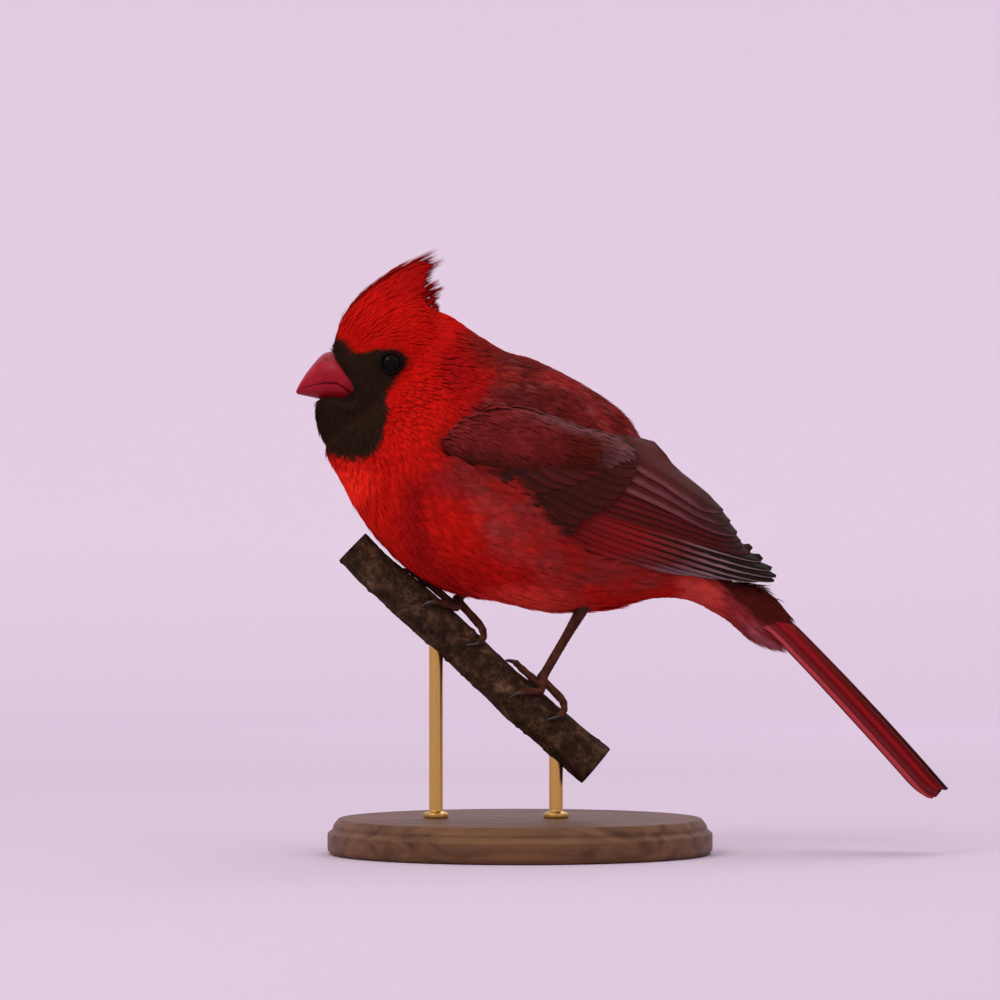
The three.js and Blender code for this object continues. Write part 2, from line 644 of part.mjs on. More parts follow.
// Perch and stand
function perchLoft(grow) {
  const count = 14;
  const rings = Array.from({ length: count + 1 }, (_, i) => {
    const station = (perchStations.length - 1) * (i / count);
    return Array.from({ length: perchSides }, (_unused, k) => {
      const angle = (2 * Math.PI * k) / perchSides;
      return perchPoint(station, angle, grow + 0.16 * Math.sin(2.3 * i + 2 * angle));
    });
  });
  return skinOver(rings);
}
const rodSpecs = Object.entries(rodColumns).map(([name, column]) => {
  const t = Array.from({ length: 801 }, (_, i) => i / 100).find((v) => blend(perchStations, v)[0] >= column);
  const [, row, radius] = blend(perchStations, t);
  const x = at(column, row).x;
  const top = at(column, row).z - radius * 0.75;
  return { name, x, top, foot: baseHeight - 4 };
});
function rod({ x, top, foot }, grow = 0) {
  const geometry = new THREE.CylinderGeometry(rodRadius + grow, rodRadius + grow, top - foot + 2 * grow, 20);
  geometry.rotateX(Math.PI / 2);
  geometry.translate(x, 0, (top + foot) / 2);
  return solidOf(geometry);
}
const rodRoom = union(rodSpecs.map((spec) => rod(spec, gap)));
const legClearance = union(Object.values(legs));
const perch = perchLoft(-gap).subtract(rodRoom);
const base = new THREE.LatheGeometry([
  [0, 0], [baseRadius - 1, 0], [baseRadius, 1], [baseRadius, baseHeight - 3], [baseRadius - 2, baseHeight],
  [0, baseHeight],
].map(([r, z]) => new THREE.Vector2(r, z)), 36);
base.rotateX(Math.PI / 2);

addNode('head', head, colours.red);
addNode('mask', mask, colours.mask);
addNode('bill_upper', billUpper, colours.bill, 0.35);
addNode('bill_lower', billLower, colours.bill, 0.35);
addNode('eye_left', eyeball(-1), colours.eye, 0.05);
addNode('eye_right', eyeball(1), colours.eye, 0.05);
addNode('neck', neck, colours.red);
addNode('torso', torso, colours.red);
addNode('wing_left', wing(-1), colours.maroon);
addNode('wing_right', wing(1), colours.maroon);
addNode('tail', tail, colours.tail);
for (const [name, solid] of Object.entries(legs)) addNode(name, solid, colours.leg, 0.6);
addNode('perch', perch.subtract(legClearance), colours.bark, 0.9);
for (const spec of rodSpecs) addNode(spec.name, rod(spec), colours.brass, 0.3, 1);
addNode('stand_base', solidOf(base).subtract(rodRoom), colours.wood, 0.5);

export default object;
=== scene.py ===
# %% [markdown]
# A male northern cardinal, life size, gripping a cut length of branch on a small display stand.
# The construction comes packed from the CAD step. This script keeps that frame and gives each part its
# real surface: one skin with feathers over it, flight feathers, bill, eyes, legs, bark, wood and brass.

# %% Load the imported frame
import math

import bpy
import numpy as np
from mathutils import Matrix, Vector, noise


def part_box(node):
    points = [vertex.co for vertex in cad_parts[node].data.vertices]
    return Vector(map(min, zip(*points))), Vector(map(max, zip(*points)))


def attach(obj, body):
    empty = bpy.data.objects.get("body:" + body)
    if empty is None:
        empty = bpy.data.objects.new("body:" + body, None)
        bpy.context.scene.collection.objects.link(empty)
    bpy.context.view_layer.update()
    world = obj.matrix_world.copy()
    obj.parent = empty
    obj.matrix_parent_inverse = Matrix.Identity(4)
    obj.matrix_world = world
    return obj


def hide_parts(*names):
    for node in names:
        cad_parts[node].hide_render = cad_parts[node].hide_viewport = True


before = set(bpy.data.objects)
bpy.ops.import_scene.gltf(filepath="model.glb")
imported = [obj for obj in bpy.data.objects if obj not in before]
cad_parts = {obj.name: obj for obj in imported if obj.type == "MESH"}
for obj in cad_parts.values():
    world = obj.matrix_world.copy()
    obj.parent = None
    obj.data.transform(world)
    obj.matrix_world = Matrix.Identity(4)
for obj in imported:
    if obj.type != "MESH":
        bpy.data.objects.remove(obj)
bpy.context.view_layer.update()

# %% [markdown]
# The bird is laid out in the side view, on a grid of columns and rows. Two points of that grid span the
# bird's real length, and that gives the size of one step. X runs along the columns and Z against the rows.

# %% Driving dimensions
BIRD_LENGTH = 0.217  # tip of the bill to tip of the tail, metres
MM = 0.001
BILL_TIP = (296, 393)
TAIL_TIP = (941, 794)
STAND_COLUMN = 520
FLOOR_ROW = 853
STEP = BIRD_LENGTH / math.dist(BILL_TIP, TAIL_TIP)
LEFT, RIGHT = -1, 1
BODY_POWER = 2.25  # superellipse power of the body's cross sections
HEAD_POWER = 2.15
CREST_POWER = 1.75
EYE_SPOT = (392, 364)
EYE_RADIUS = 3.7 * MM
EYE_PROUD = 0.9 * MM


def at(column, row, y=0.0):
    return Vector(((column - STAND_COLUMN) * STEP, y, (FLOOR_ROW - row) * STEP))


def side_view(points):
    """Columns and rows of an array of points."""
    return points[:, 0] / STEP + STAND_COLUMN, FLOOR_ROW - points[:, 2] / STEP


print("one grid step is", round(STEP / MM, 4), "mm")

# %% [markdown]
# A body is easiest to describe as stations along it: the top and bottom of each cross section in the
# side view and its half width. A smooth curve through the stations fills in what lies between them.

# %% Stations of the body, in grid steps, half widths in mm
HEAD = np.array([
    [334, 344, 317, 401, 5.4], [338, 326, 314, 413, 6.7], [350, 308, 319, 436, 8.1],
    [368, 295, 334, 448, 10.2], [390, 289, 360, 453, 12.9], [412, 292, 390, 448, 13.5],
    [430, 302, 415, 436, 12.2], [442, 319, 434, 412, 9.4], [448, 344, 447, 378, 4.0]])
CREST = np.array([
    [344, 323, 365, 362, 5.6], [353, 306, 386, 352, 7.6], [368, 291, 406, 346, 8.3],
    [385, 279, 419, 338, 7.5], [402, 268.5, 426, 328, 5.9], [413, 263, 427, 315, 4.2],
    [422, 259.5, 427, 300, 2.7], [429, 256.5, 425, 281, 1.1]])
FRONT = [
    [437, 307, 323, 446, 9.6], [452, 314, 327, 458, 12.2], [475, 330, 338, 480, 17.6],
    [502, 347, 352, 506, 22.4], [530, 357, 376, 539, 24.8], [560, 371, 405, 567, 26.6]]
BODY = np.array(FRONT + [
    [590, 388, 445, 590, 27.2], [620, 410, 497, 602, 26.8], [645, 443, 545, 611, 24.8],
    [668, 478, 596, 611, 21.2], [690, 510, 643, 601, 16.4], [714, 542, 681, 600, 12.2],
    [738, 572, 715, 614, 8.8], [764, 584, 742, 634, 7.0], [792, 614, 768, 647, 5.0]])
WINGS = np.array(FRONT + [
    [592, 388, 445, 590, 27.6], [625, 411, 497, 602, 27.6], [655, 443, 545, 611, 26.2],
    [685, 469, 596, 611, 23.4], [708, 486, 642, 602, 19.8], [730, 514, 680, 600, 15.8],
    [748, 544, 712, 612, 12.2], [768, 561, 740, 628, 9.6], [790, 583, 772, 646, 7.6]])
BILL = np.array([
    [346, 355, 362, 403, 7.5], [334, 351.5, 345, 404, 7.2], [326, 352.6, 333, 402, 6.5],
    [320, 356.5, 322, 399.5, 5.5], [313, 364.5, 313, 397.5, 4.2], [306, 373.5, 305, 395.8, 2.8],
    [300, 383, 299.5, 394.6, 1.5], [BILL_TIP[0], 391, 297.4, 394.2, 0.45]])

# %% Outlines in the side view
MASK = [
    (285, 338), (333, 339), (344, 343.5), (352, 354), (362, 354), (376, 350.5), (393, 350), (403, 355),
    (407, 362.5), (402, 371), (395, 379), (385, 390), (382, 397), (385, 406), (382, 420), (379, 434),
    (374, 445), (365, 452), (348, 453), (335, 450), (325, 447), (285, 446)]
BILL_OPENING = [
    (285, 351.2), (334, 351.2), (335.5, 360), (344, 371), (352.5, 382.5), (358, 394), (357, 404.5),
    (345, 405), (333, 403), (317, 399.6), (285, 399.6)]
WING_OUTLINE = [
    (437, 443), (452, 427), (470, 414), (490, 407), (513, 405), (530, 407), (548, 414), (572, 424),
    (600, 433), (628, 434), (645, 430), (662, 445), (686, 465), (704, 477), (727, 505), (747, 539),
    (766, 551), (780, 565), (780, 580), (765, 583), (713, 574), (667, 570), (614, 562), (575, 554),
    (569, 540), (546, 533), (540, 519), (525, 501), (506, 468), (470, 463), (443, 453)]
DARK_BACK = [
    (497, 330), (490, 352), (484, 378), (470, 402), (452, 424), (436, 442), (470, 470), (520, 480),
    (560, 540), (660, 575), (700, 560), (770, 596), (800, 590), (700, 450), (600, 370)]
FLANK = [(448, 452), (500, 462), (545, 530), (600, 560), (665, 575), (620, 594), (540, 580), (470, 540)]


def blend(table, t):
    """Rows of a station table at the places t, as a smooth curve through them."""
    t = np.atleast_1d(np.asarray(t, float))
    i = np.clip(np.floor(t).astype(int), 0, len(table) - 2)
    u = (t - i)[:, None]
    a, b, c, d = (table[np.clip(i + k, 0, len(table) - 1)] for k in (-1, 0, 1, 2))
    return 0.5 * (2 * b + (c - a) * u + (2 * a - 5 * b + 4 * c - d) * u**2 + (3 * b - a - 3 * c + d) * u**3)


def depth_inside(outline, columns, rows):
    """Distance in grid steps from an outline, positive inside it."""
    corners = np.array(outline, float)
    nearest = np.full(columns.shape, 1e9)
    inside = np.zeros(columns.shape, bool)
    for (ax, ay), (bx, by) in zip(corners, np.roll(corners, -1, axis=0)):
        share = ((columns - ax) * (bx - ax) + (rows - ay) * (by - ay)) / ((bx - ax) ** 2 + (by - ay) ** 2)
        share = np.clip(share, 0, 1)
        gap = np.hypot(columns - ax - share * (bx - ax), rows - ay - share * (by - ay))
        nearest = np.minimum(nearest, gap)
        crosses = (ay > rows) != (by > rows)
        inside ^= crosses & (columns < (bx - ax) * (rows - ay) / np.where(by == ay, 1e-9, by - ay) + ax)
    return np.where(inside, nearest, -nearest)


def ease(value, start, end):
    """0 below start, 1 above end, smooth between."""
    share = np.clip((value - start) / (end - start), 0, 1)
    return share * share * (3 - 2 * share)


def stations_at(table, columns, rows):
    """Where along a station table each point of the side view lies, and how high in that section."""
    def side(t):
        s = blend(table, t)
        return (columns - s[:, 2]) * (s[:, 1] - s[:, 3]) - (rows - s[:, 3]) * (s[:, 0] - s[:, 2])
    low = np.zeros(columns.shape)
    high = np.full(columns.shape, len(table) - 1.0)
    start = np.sign(side(low))
    for _ in range(22):
        middle = (low + high) / 2
        same = np.sign(side(middle)) == start
        low = np.where(same, middle, low)
        high = np.where(same, high, middle)
    s = blend(table, low)
    along = s[:, 0:2] - s[:, 2:4]
    share = ((columns - s[:, 2]) * along[:, 0] + (rows - s[:, 3]) * along[:, 1]) / (along**2).sum(1)
    return low, 2 * share - 1, s[:, 4] * MM


def half_width_at(table, power, columns, rows):
    _, height, half = stations_at(table, np.asarray(columns, float), np.asarray(rows, float))
    return half * (1 - np.minimum(0.985, np.abs(height)) ** power) ** (1 / power)


def mesh_object(name, points, faces):
    mesh = bpy.data.meshes.new(name)
    mesh.from_pydata([tuple(p) for p in points], [], faces)
    mesh.update()
    mesh.shade_smooth()
    made = bpy.data.objects.new(name, mesh)
    bpy.context.collection.objects.link(made)
    return made


def store(mesh, name, kind, values):
    """Store one value or vector for each point of a mesh."""
    layer = mesh.attributes.new(name, kind, "POINT")
    field = "vector" if kind == "FLOAT_VECTOR" else "value"
    layer.data.foreach_set(field, np.asarray(values, float).ravel())


def store_plumage(mesh, tones):
    """Store the colour that the plumage materials read, one for each point."""
    layer = mesh.attributes.new("plumage", "FLOAT_COLOR", "POINT")
    layer.data.foreach_set("color", np.concatenate([tones, np.ones((len(tones), 1))], 1).ravel())


def skin_over(rings):
    """Points and faces of a closed skin over a list of rings, each end closed on its middle."""
    rings = np.asarray(rings)
    count, sides, _ = rings.shape
    points = np.concatenate([rings.reshape(-1, 3), [rings[0].mean(0), rings[-1].mean(0)]])
    faces = []
    for i in range(count - 1):
        for k in range(sides):
            a, b = i * sides + k, i * sides + (k + 1) % sides
            faces.append((a, b, b + sides, a + sides))
    last = (count - 1) * sides
    for k in range(sides):
        following = (k + 1) % sides
        faces.append((count * sides, following, k))
        faces.append((count * sides + 1, last + k, last + following))
    return points, faces


def face_outwards(piece):
    """Turn a closed mesh right side out."""
    mesh = piece.data
    mesh.calc_loop_triangles()
    co = np.array([v.co for v in mesh.vertices])
    tri = np.array([t.vertices for t in mesh.loop_triangles])
    volume = np.einsum("ij,ij->i", co[tri[:, 0]], np.cross(co[tri[:, 1]], co[tri[:, 2]])).sum()
    if volume < 0:
        mesh.flip_normals()
    return piece


def section_rings(table, power, sides, steps):
    """Rings of the cross sections of a station table."""
    sections = blend(table, np.linspace(0, len(table) - 1, steps + 1))
    angle = np.linspace(0, 2 * math.pi, sides, endpoint=False)
    up_share = np.sign(np.cos(angle)) * np.abs(np.cos(angle)) ** (2 / power)
    side_share = np.sign(np.sin(angle)) * np.abs(np.sin(angle)) ** (2 / power)
    rings = []
    for top_column, top_row, low_column, low_row, half in sections:
        top, low = at(top_column, top_row), at(low_column, low_row)
        middle, up = (top + low) / 2, (top - low) / 2
        rings.append([(middle.x + up.x * u, half * MM * w, middle.z + up.z * u)
                      for u, w in zip(up_share, side_share)])
    return rings


print("stations:", len(HEAD), "head,", len(BODY), "body,", len(WINGS), "wings")

# %% [markdown]
# A material here is a few shader nodes. One small function adds a node with its settings and links.
# Colours are written as sRGB hex values, as on a paint card, and turned to the linear values that
# the renderer works in.

# %% Helpers for materials


def colour(code):
    parts = [int(code[k:k + 2], 16) / 255 for k in (1, 3, 5)]
    return (*[p / 12.92 if p <= 0.04045 else ((p + 0.055) / 1.055) ** 2.4 for p in parts], 1.0)


def add_node(tree, kind, inputs=None, **settings):
    """Add a node. Inputs hold plain values or the output sockets to link."""
    node = tree.nodes.new(kind)
    for key, value in settings.items():
        setattr(node, key, value)
    for socket, value in (inputs or {}).items():
        if isinstance(value, bpy.types.NodeSocket):
            tree.links.new(value, node.inputs[socket])
        else:
            node.inputs[socket].default_value = value
    return node


def new_material(name, base, **settings):
    """A material, its tree and its Principled shader, whose sockets take the settings by name."""
    material = bpy.data.materials.new(name)
    material.use_nodes = True
    tree = material.node_tree
    principled = tree.nodes["Principled BSDF"]
    principled.inputs["Base Color"].default_value = colour(base)
    for key, value in settings.items():
        socket = key.replace("_", " ").title().replace("Ior", "IOR")
        principled.inputs[socket].default_value = value
    return material, tree, principled


def ramp(tree, factor, stops):
    """A colour ramp over stops of (position, hex colour)."""
    node = add_node(tree, "ShaderNodeValToRGB", {"Fac": factor})
    elements = node.color_ramp.elements
    for element, (place, code) in zip(elements, (stops[0], stops[-1])):
        element.position, element.color = place, colour(code)
    for place, code in stops[1:-1]:
        elements.new(place).color = colour(code)
    return node.outputs["Color"]


def calc(tree, operation, first, second=None):
    """What a math node makes of one or two numbers or output sockets."""
    given = {0: first} if second is None else {0: first, 1: second}
    return add_node(tree, "ShaderNodeMath", given, operation=operation).outputs[0]


def map_range(tree, value, **ends):
    """A value moved from one range to another. Each end left out is 0 or 1."""
    given = {key.replace("_", " ").title(): end for key, end in ends.items()}
    return add_node(tree, "ShaderNodeMapRange", {"Value": value, **given}).outputs[0]


def object_place(tree, stretch=None):
    """The piece's own coordinates, stretched along its axes if asked."""
    where = add_node(tree, "ShaderNodeTexCoord").outputs["Object"]
    if stretch is None:
        return where
    return add_node(tree, "ShaderNodeMapping", {"Vector": where, "Scale": stretch}).outputs[0]


def cloud(tree, scale, where=None, **settings):
    """Noise from 0 to 1 over the piece's own coordinates or over those given."""
    given = {key.title(): value for key, value in settings.items()}
    given["Vector"] = object_place(tree) if where is None else where
    return add_node(tree, "ShaderNodeTexNoise", {"Scale": scale, **given}).outputs["Fac"]


def colour_by(tree, principled, factor, stops):
    """Let a factor choose the base colour from a ramp."""
    tree.links.new(ramp(tree, factor, stops), principled.inputs["Base Color"])


def bump(tree, principled, height, distance, strength=0.6):
    node = add_node(tree, "ShaderNodeBump", {"Height": height, "Distance": distance, "Strength": strength})
    tree.links.new(node.outputs["Normal"], principled.inputs["Normal"])


# %% [markdown]
# Body feathers are keratin vanes that scatter light softly, so the plumage is rough and hardly shines.
# Skin and feathers read the same painted attribute, so the markings run on from one to the other. Each
# feather is duller at its root and has its own tint.

# %% Plumage material


def plumage_material(name, root_light):
    material, tree, shader = new_material(name, "#b3140f", roughness=0.85, specular_ior_level=0.05)
    marks_and_painted_light = add_node(tree, "ShaderNodeAttribute", attribute_name="plumage").outputs["Color"]
    along = add_node(tree, "ShaderNodeAttribute", attribute_name="along").outputs["Fac"]
    tint = add_node(tree, "ShaderNodeAttribute", attribute_name="tint").outputs["Fac"]
    tip_light = map_range(tree, along, to_min=root_light, to_max=1.14)
    own_light = map_range(tree, tint, to_min=0.88, to_max=1.12)
    light = calc(tree, "MULTIPLY", tip_light, own_light)
    shaded = add_node(tree, "ShaderNodeVectorMath", {0: marks_and_painted_light, "Scale": light}, operation="SCALE")
    tree.links.new(shaded.outputs["Vector"], shader.inputs["Base Color"])
    return material


plumage = plumage_material("plumage_keratin_vanes", 0.88)
skin_material = plumage_material("plumage_down_under_vanes", 0.85)
print("plumage materials made")

# %% [markdown]
# The skin is one closed surface, so no seam shows between head, crest, neck and body. The lofts overlap,
# a voxel remesh fuses them into one, and a smoothing pass takes the steps out. The skin then sinks by the
# depth of the coat, and deeper where the folded wings, the bill and the eyes need room.

# %% Skin
VOXEL = 0.95 * MM
COAT_DEPTH = 1.3 * MM
WING_ROOM = 3.9 * MM


def build_skin():
    lofts = [
        skin_over(section_rings(HEAD, HEAD_POWER, 44, 40)),
        skin_over(section_rings(CREST, CREST_POWER, 32, 40)),
        skin_over(section_rings(BODY, BODY_POWER, 64, 80))]
    points, faces = np.zeros((0, 3)), []
    for loft_points, loft_faces in lofts:
        faces += [tuple(i + len(points) for i in face) for face in loft_faces]
        points = np.concatenate([points, loft_points])
    form = mesh_object("plumage_skin", points, faces)
    remesh = form.modifiers.new("fuse", "REMESH")
    remesh.mode = "VOXEL"
    remesh.voxel_size = VOXEL
    relax = form.modifiers.new("relax", "SMOOTH")
    relax.factor = 0.5
    relax.iterations = 10
    evaluated = form.evaluated_get(bpy.context.evaluated_depsgraph_get())
    fused = bpy.data.meshes.new_from_object(evaluated)
    form.modifiers.clear()
    form.data = fused
    fused.shade_smooth()
    return face_outwards(form)


skin = build_skin()
form_points = np.array([v.co for v in skin.data.vertices])
form_normals = np.array([n.vector for n in skin.data.vertex_normals])
columns, rows = side_view(form_points)
print("skin:", len(form_points), "points")

# %% Sink the skin under the coat
in_wing = depth_inside(WING_OUTLINE, columns, rows)
in_bill = depth_inside(BILL_OPENING, columns, rows)
from_eye = np.hypot(columns - EYE_SPOT[0], rows - EYE_SPOT[1]) * STEP
face_share = 1 - ease(columns + 0.6 * rows, 560, 660)
sink = COAT_DEPTH * (1 - 0.55 * face_share)
sink = sink + (WING_ROOM - sink) * ease(in_wing, -2, 5)
sink = np.where(from_eye < 4.2 * MM, sink + 1.9 * MM * (1 - ease(from_eye, 2.3 * MM, 3.6 * MM)), sink)
skin_points = form_points - form_normals * sink[:, None]
pull = ease(in_bill, 0.5, 4.5) * 3.4 * MM
skin_points[:, 1] -= np.sign(skin_points[:, 1]) * np.minimum(np.abs(skin_points[:, 1]), pull)
skin_points[:, 0] += ease(in_bill, 0.5, 4.5) * ease(360 - columns, 0, 30) * 3.0 * MM
skin.data.vertices.foreach_set("co", skin_points.ravel())
skin.data.update()
print("coat depth from", round(sink.min() / MM, 2), "to", round(sink.max() / MM, 2), "mm")

# %% [markdown]
# Feathers lie from the bill backwards, over the crown, down the throat and along the body to the tail.
# They are shortest round the bill and eye and longest on the flanks. Directions and lengths are set at
# landmarks, and each point of the skin takes a mix of the nearest ones.

# %% Lie and length of the feathers: column, row, direction in columns and rows, length in mm
PLUMES = np.array([
    (333, 332, 0.45, -0.89, 1.8), (342, 316, 0.58, -0.81, 3.0), (352, 303, 0.68, -0.73, 4.0),
    (366, 290, 0.74, -0.67, 4.8), (385, 277, 0.80, -0.60, 5.0), (404, 265, 0.86, -0.51, 5.0),
    (430, 256, 0.90, -0.44, 2.6), (400, 290, 0.82, -0.57, 5.0), (420, 285, 0.93, -0.36, 3.0),
    (436, 292, 0.95, -0.22, 2.2), (372, 315, 0.80, -0.60, 4.2), (400, 320, 0.92, -0.38, 4.6),
    (428, 312, 0.97, 0.00, 3.2), (360, 338, 0.86, -0.50, 2.6), (392, 340, 0.95, -0.28, 3.2),
    (345, 350, 0.90, -0.40, 1.5), (372, 364, 1.00, 0.00, 1.5), (392, 351, 0.98, -0.20, 1.5),
    (392, 378, 0.94, 0.34, 1.6), (406, 364, 1.00, 0.05, 2.0), (372, 395, 0.85, 0.50, 2.2),
    (400, 395, 0.84, 0.54, 3.2), (430, 350, 0.96, 0.22, 4.4), (425, 380, 0.90, 0.44, 4.0),
    (328, 410, 0.30, 0.95, 2.0), (345, 430, 0.42, 0.91, 2.6), (370, 430, 0.58, 0.81, 2.8),
    (335, 462, 0.38, 0.92, 4.0), (450, 335, 0.86, 0.50, 4.6), (470, 370, 0.80, 0.60, 5.4),
    (440, 410, 0.70, 0.71, 5.4), (400, 450, 0.60, 0.80, 5.2), (350, 495, 0.44, 0.90, 5.6),
    (380, 520, 0.60, 0.80, 6.4), (430, 460, 0.78, 0.62, 6.2), (400, 560, 0.80, 0.58, 7.0),
    (440, 500, 0.88, 0.46, 7.4), (480, 500, 0.96, 0.20, 8.6), (450, 580, 0.95, 0.30, 7.6),
    (520, 535, 0.98, 0.12, 9.0), (520, 600, 1.00, 0.04, 8.0), (600, 580, 1.00, 0.00, 8.6),
    (650, 590, 0.98, 0.05, 7.4), (500, 365, 0.86, 0.51, 5.6), (560, 380, 0.84, 0.54, 6.2),
    (600, 405, 0.80, 0.60, 6.6), (660, 470, 0.74, 0.67, 6.6), (700, 530, 0.72, 0.70, 7.0),
    (700, 600, 0.84, 0.54, 8.0), (750, 622, 0.76, 0.65, 8.5), (780, 606, 0.70, 0.71, 4.5),
    (762, 586, 0.76, 0.65, 4.0)])


def plumes_at(columns, rows, normals):
    """The lie of the feathers in the skin's surface, and their length in metres."""
    total = np.zeros((len(columns), 3))
    weights = np.zeros(len(columns))
    for column, row, *values in PLUMES:
        weight = 1 / (np.hypot(columns - column, rows - row) + 6) ** 3.2
        total += weight[:, None] * np.array(values)
        weights += weight
    flow = total / weights[:, None]
    lie = np.stack([flow[:, 0], np.zeros(len(flow)), -flow[:, 1]], 1)
    lie -= normals * (lie * normals).sum(1)[:, None]
    return lie / np.maximum(np.linalg.norm(lie, axis=1), 1e-6)[:, None], flow[:, 2] * MM


lie, length = plumes_at(columns, rows, form_normals)

# %% [markdown]
# The markings are painted on the skin's points by rule: a red that dulls towards the belly, a black mask
# inside its outline, a dark maroon back. Light and shade are painted in as well: painted shade on the side
# of the neck, down the breast's side and under the wing tips, and painted bounce light on the throat, the
# underside and the vent. Slow noise breaks each colour as worn feather edges do.

# %% Markings, painted shade and painted bounce light


def hex_array(code):
    return np.array(colour(code)[:3])


def mix(first, second, share):
    return first + (second - first) * share[:, None]


def slow_noise(points, size, shift=0.0):
    offset = Vector((shift, shift, shift))
    return np.array([noise.noise(Vector(p) / size + offset) for p in points])


def near(column, row, inner, outer, tall=1.0):
    """1 close to a spot of the side view, 0 beyond the outer distance."""
    return ease(np.hypot(columns - column, (rows - row) * tall), outer, inner)


def paint_over(base, rules):
    """Lay tones over a base, each as strongly as its share says. A rule is a name, a tone and a share."""
    for _, tone, share in rules:
        base = mix(base, hex_array(tone), share)
    return base


patches = slow_noise(form_points, 7 * MM)
fine_patches = slow_noise(form_points, 2.6 * MM, 9.0)
in_mask = depth_inside(MASK, columns, rows)
back_depth = depth_inside(DARK_BACK, columns, rows)
in_back = back_depth + fine_patches * 5
belly = ease(columns * 0.35 + rows, 610, 790)
flank = ease(depth_inside(FLANK, columns, rows), -14, 10)
vent = ease(columns, 655, 675) * ease(columns, 714, 700) * ease(rows, 560, 585)
# painted shade: a dark band down the breast where its lit front turns into its side
breast_shade_line = 405 + 0.006 * (rows - 510) ** 2  # where the front of the breast meets its side
red = mix(hex_array("#be0f08"), hex_array("#cc180e"), ease(columns + rows, 780, 900))
red = paint_over(red, [
    ("crest", "#a60c0a", near(405, 282, 14, 44, 1.2) * 0.9),
    # painted bounce light: the throat is brightened, as if lit by light bounced up from below
    ("throat", "#f0281a", near(342, 480, 10, 40)),
    # painted shade: the side of the neck is darker where it turns away towards the back
    ("side of the neck", "#980a0a", near(454, 364, 8, 40, 0.7)),
    # painted shade down the side of the breast
    ("breast_shade_line", "#6c060e", ease(np.abs(columns - breast_shade_line), 26, 2) * ease(rows, 446, 486) * 0.62),
    ("front of the shoulder", "#7a1c20", near(444, 474, 4, 34) * 0.8),
    ("rim of the back", "#9a1210", ease(back_depth, -22, 0) * ease(rows, 300, 360) * 0.8),
    ("nape", "#681a14", near(490, 334, 18, 46) * 0.9),
    ("belly", "#ae1410", np.clip(belly * 0.9 + patches * 0.4, 0, 1)),
    # painted bounce light: the lower belly and the underside are brightened, as if lit from below
    ("lower belly", "#cc4438", near(525, 602, 6, 64, 2.2) * 0.7),
    ("underside", "#f43c30", near(496, 600, 12, 60, 2.4) * 0.6),
    ("flank", "#963532", flank * np.clip(0.6 + patches * 0.35 + fine_patches * 0.6, 0, 1)),
    ("undertail", "#983234", ease(columns, 700, 714)),
    # painted bounce light: the vent is brightened the same way
    ("vent", "#d24a40", vent * 0.85),
])
worn = np.clip(0.3 + patches * 1.4 + fine_patches * 0.8, 0, 1)
back = mix(hex_array("#601a18"), hex_array("#8c2420"), worn)
back = mix(back, hex_array("#6c4446"), np.clip(fine_patches * 1.2 - 0.15, 0, 0.4))
# dark brown on top of the tail's root under the wing tips: partly the feathers' own colour, partly painted
# shade
tail_root_dark_and_shade = ease(578 + (columns - 703) * 0.85 - rows, -7, 9) * ease(columns, 694, 712)
low_tail = ease(columns, 722, 745) * ease(rows - 0.8 * columns, 20, 32)
marks_and_painted_light = mix(red, back, ease(in_back, -5, 5))
marks_and_painted_light = paint_over(marks_and_painted_light, [
    ("top of the tail's root", "#4c1812", tail_root_dark_and_shade),
    ("lowest undertail", "#b8686e", low_tail * 0.7),
    ("mask", "#2a1b11", ease(in_mask, -1.2, 1.0)),
])
store_plumage(skin.data, marks_and_painted_light)

# %% Attributes that the feathers read from the skin
store(skin.data, "lie", "FLOAT_VECTOR", lie)
body_place, body_height, _ = stations_at(BODY, columns, rows)
around = np.arctan2(form_points[:, 1], body_height * 20 * MM) / (2 * math.pi) + 0.5
unwrap = 0.04 + 0.92 * np.stack([body_place / (len(BODY) - 1), around], 1)
store(skin.data, "unwrap", "FLOAT_VECTOR", np.column_stack([unwrap, np.zeros(len(unwrap))]))
store(skin.data, "size", "FLOAT", length)
under_wing = ease(in_wing, -5, 1) * ease(np.abs(form_points[:, 1]), 4 * MM, 7 * MM)
tail_end = (form_normals @ np.array([0.72, 0.0, -0.69]) > 0.72) * (columns > 735)
clear = (1 - under_wing) * (from_eye > 3.1 * MM) * (in_bill < 1.2) * (1 - tail_end)
on_head = 1 - ease(columns + 0.75 * rows, 690, 735)
on_face = on_head * ease(in_mask, -13, -7)
on_back = ease(in_back, -3, 3) * (1 - on_head)
on_rear = ease(columns - 0.2 * rows, 520, 545) * (1 - on_back)
on_front = (1 - on_head) * (1 - on_back) * (1 - on_rear)
on_belly = on_front * ease(columns * 0.75 + rows, 845, 885)
on_edge = on_front * ease(in_wing, -26, -14) * (in_wing < -2) * (columns > 446) * (rows > 440)
covers = {"face": on_face, "crown": on_head - on_face, "breast": on_front - on_belly, "belly": on_belly,
          "back": on_back, "rear": on_rear}
for zone, share in covers.items():
    store(skin.data, "cover_" + zone, "FLOAT", np.clip(share, 0, 1) * clear)
store(skin.data, "cover_fringe", "FLOAT", on_edge)
skin.data.materials.append(skin_material)
print("skin markings and feather attributes stored")

# %% [markdown]
# A small body feather is a fan of barbs that grow from one root. Each barb is a thin closed sliver with
# three sides, so it is real geometry and still costs only a few faces. Two kinds are made: a short neat
# fan for the head and back, and a longer loose one for the breast and flanks.

# %% Barb fans


def barb_faces(start, segments):
    """Faces of a sliver with three sides: its root, its sides and its pointed tip."""
    faces = [(start, start + 1, start + 2)]
    for ring in range(segments):
        a = start + 3 * ring
        for j in range(3):
            n = (j + 1) % 3
            if ring == segments - 1:
                faces.append((a + n, a + j, a + 3))
            else:
                faces.append((a + n, a + j, a + 3 + j, a + 3 + n))
    return faces


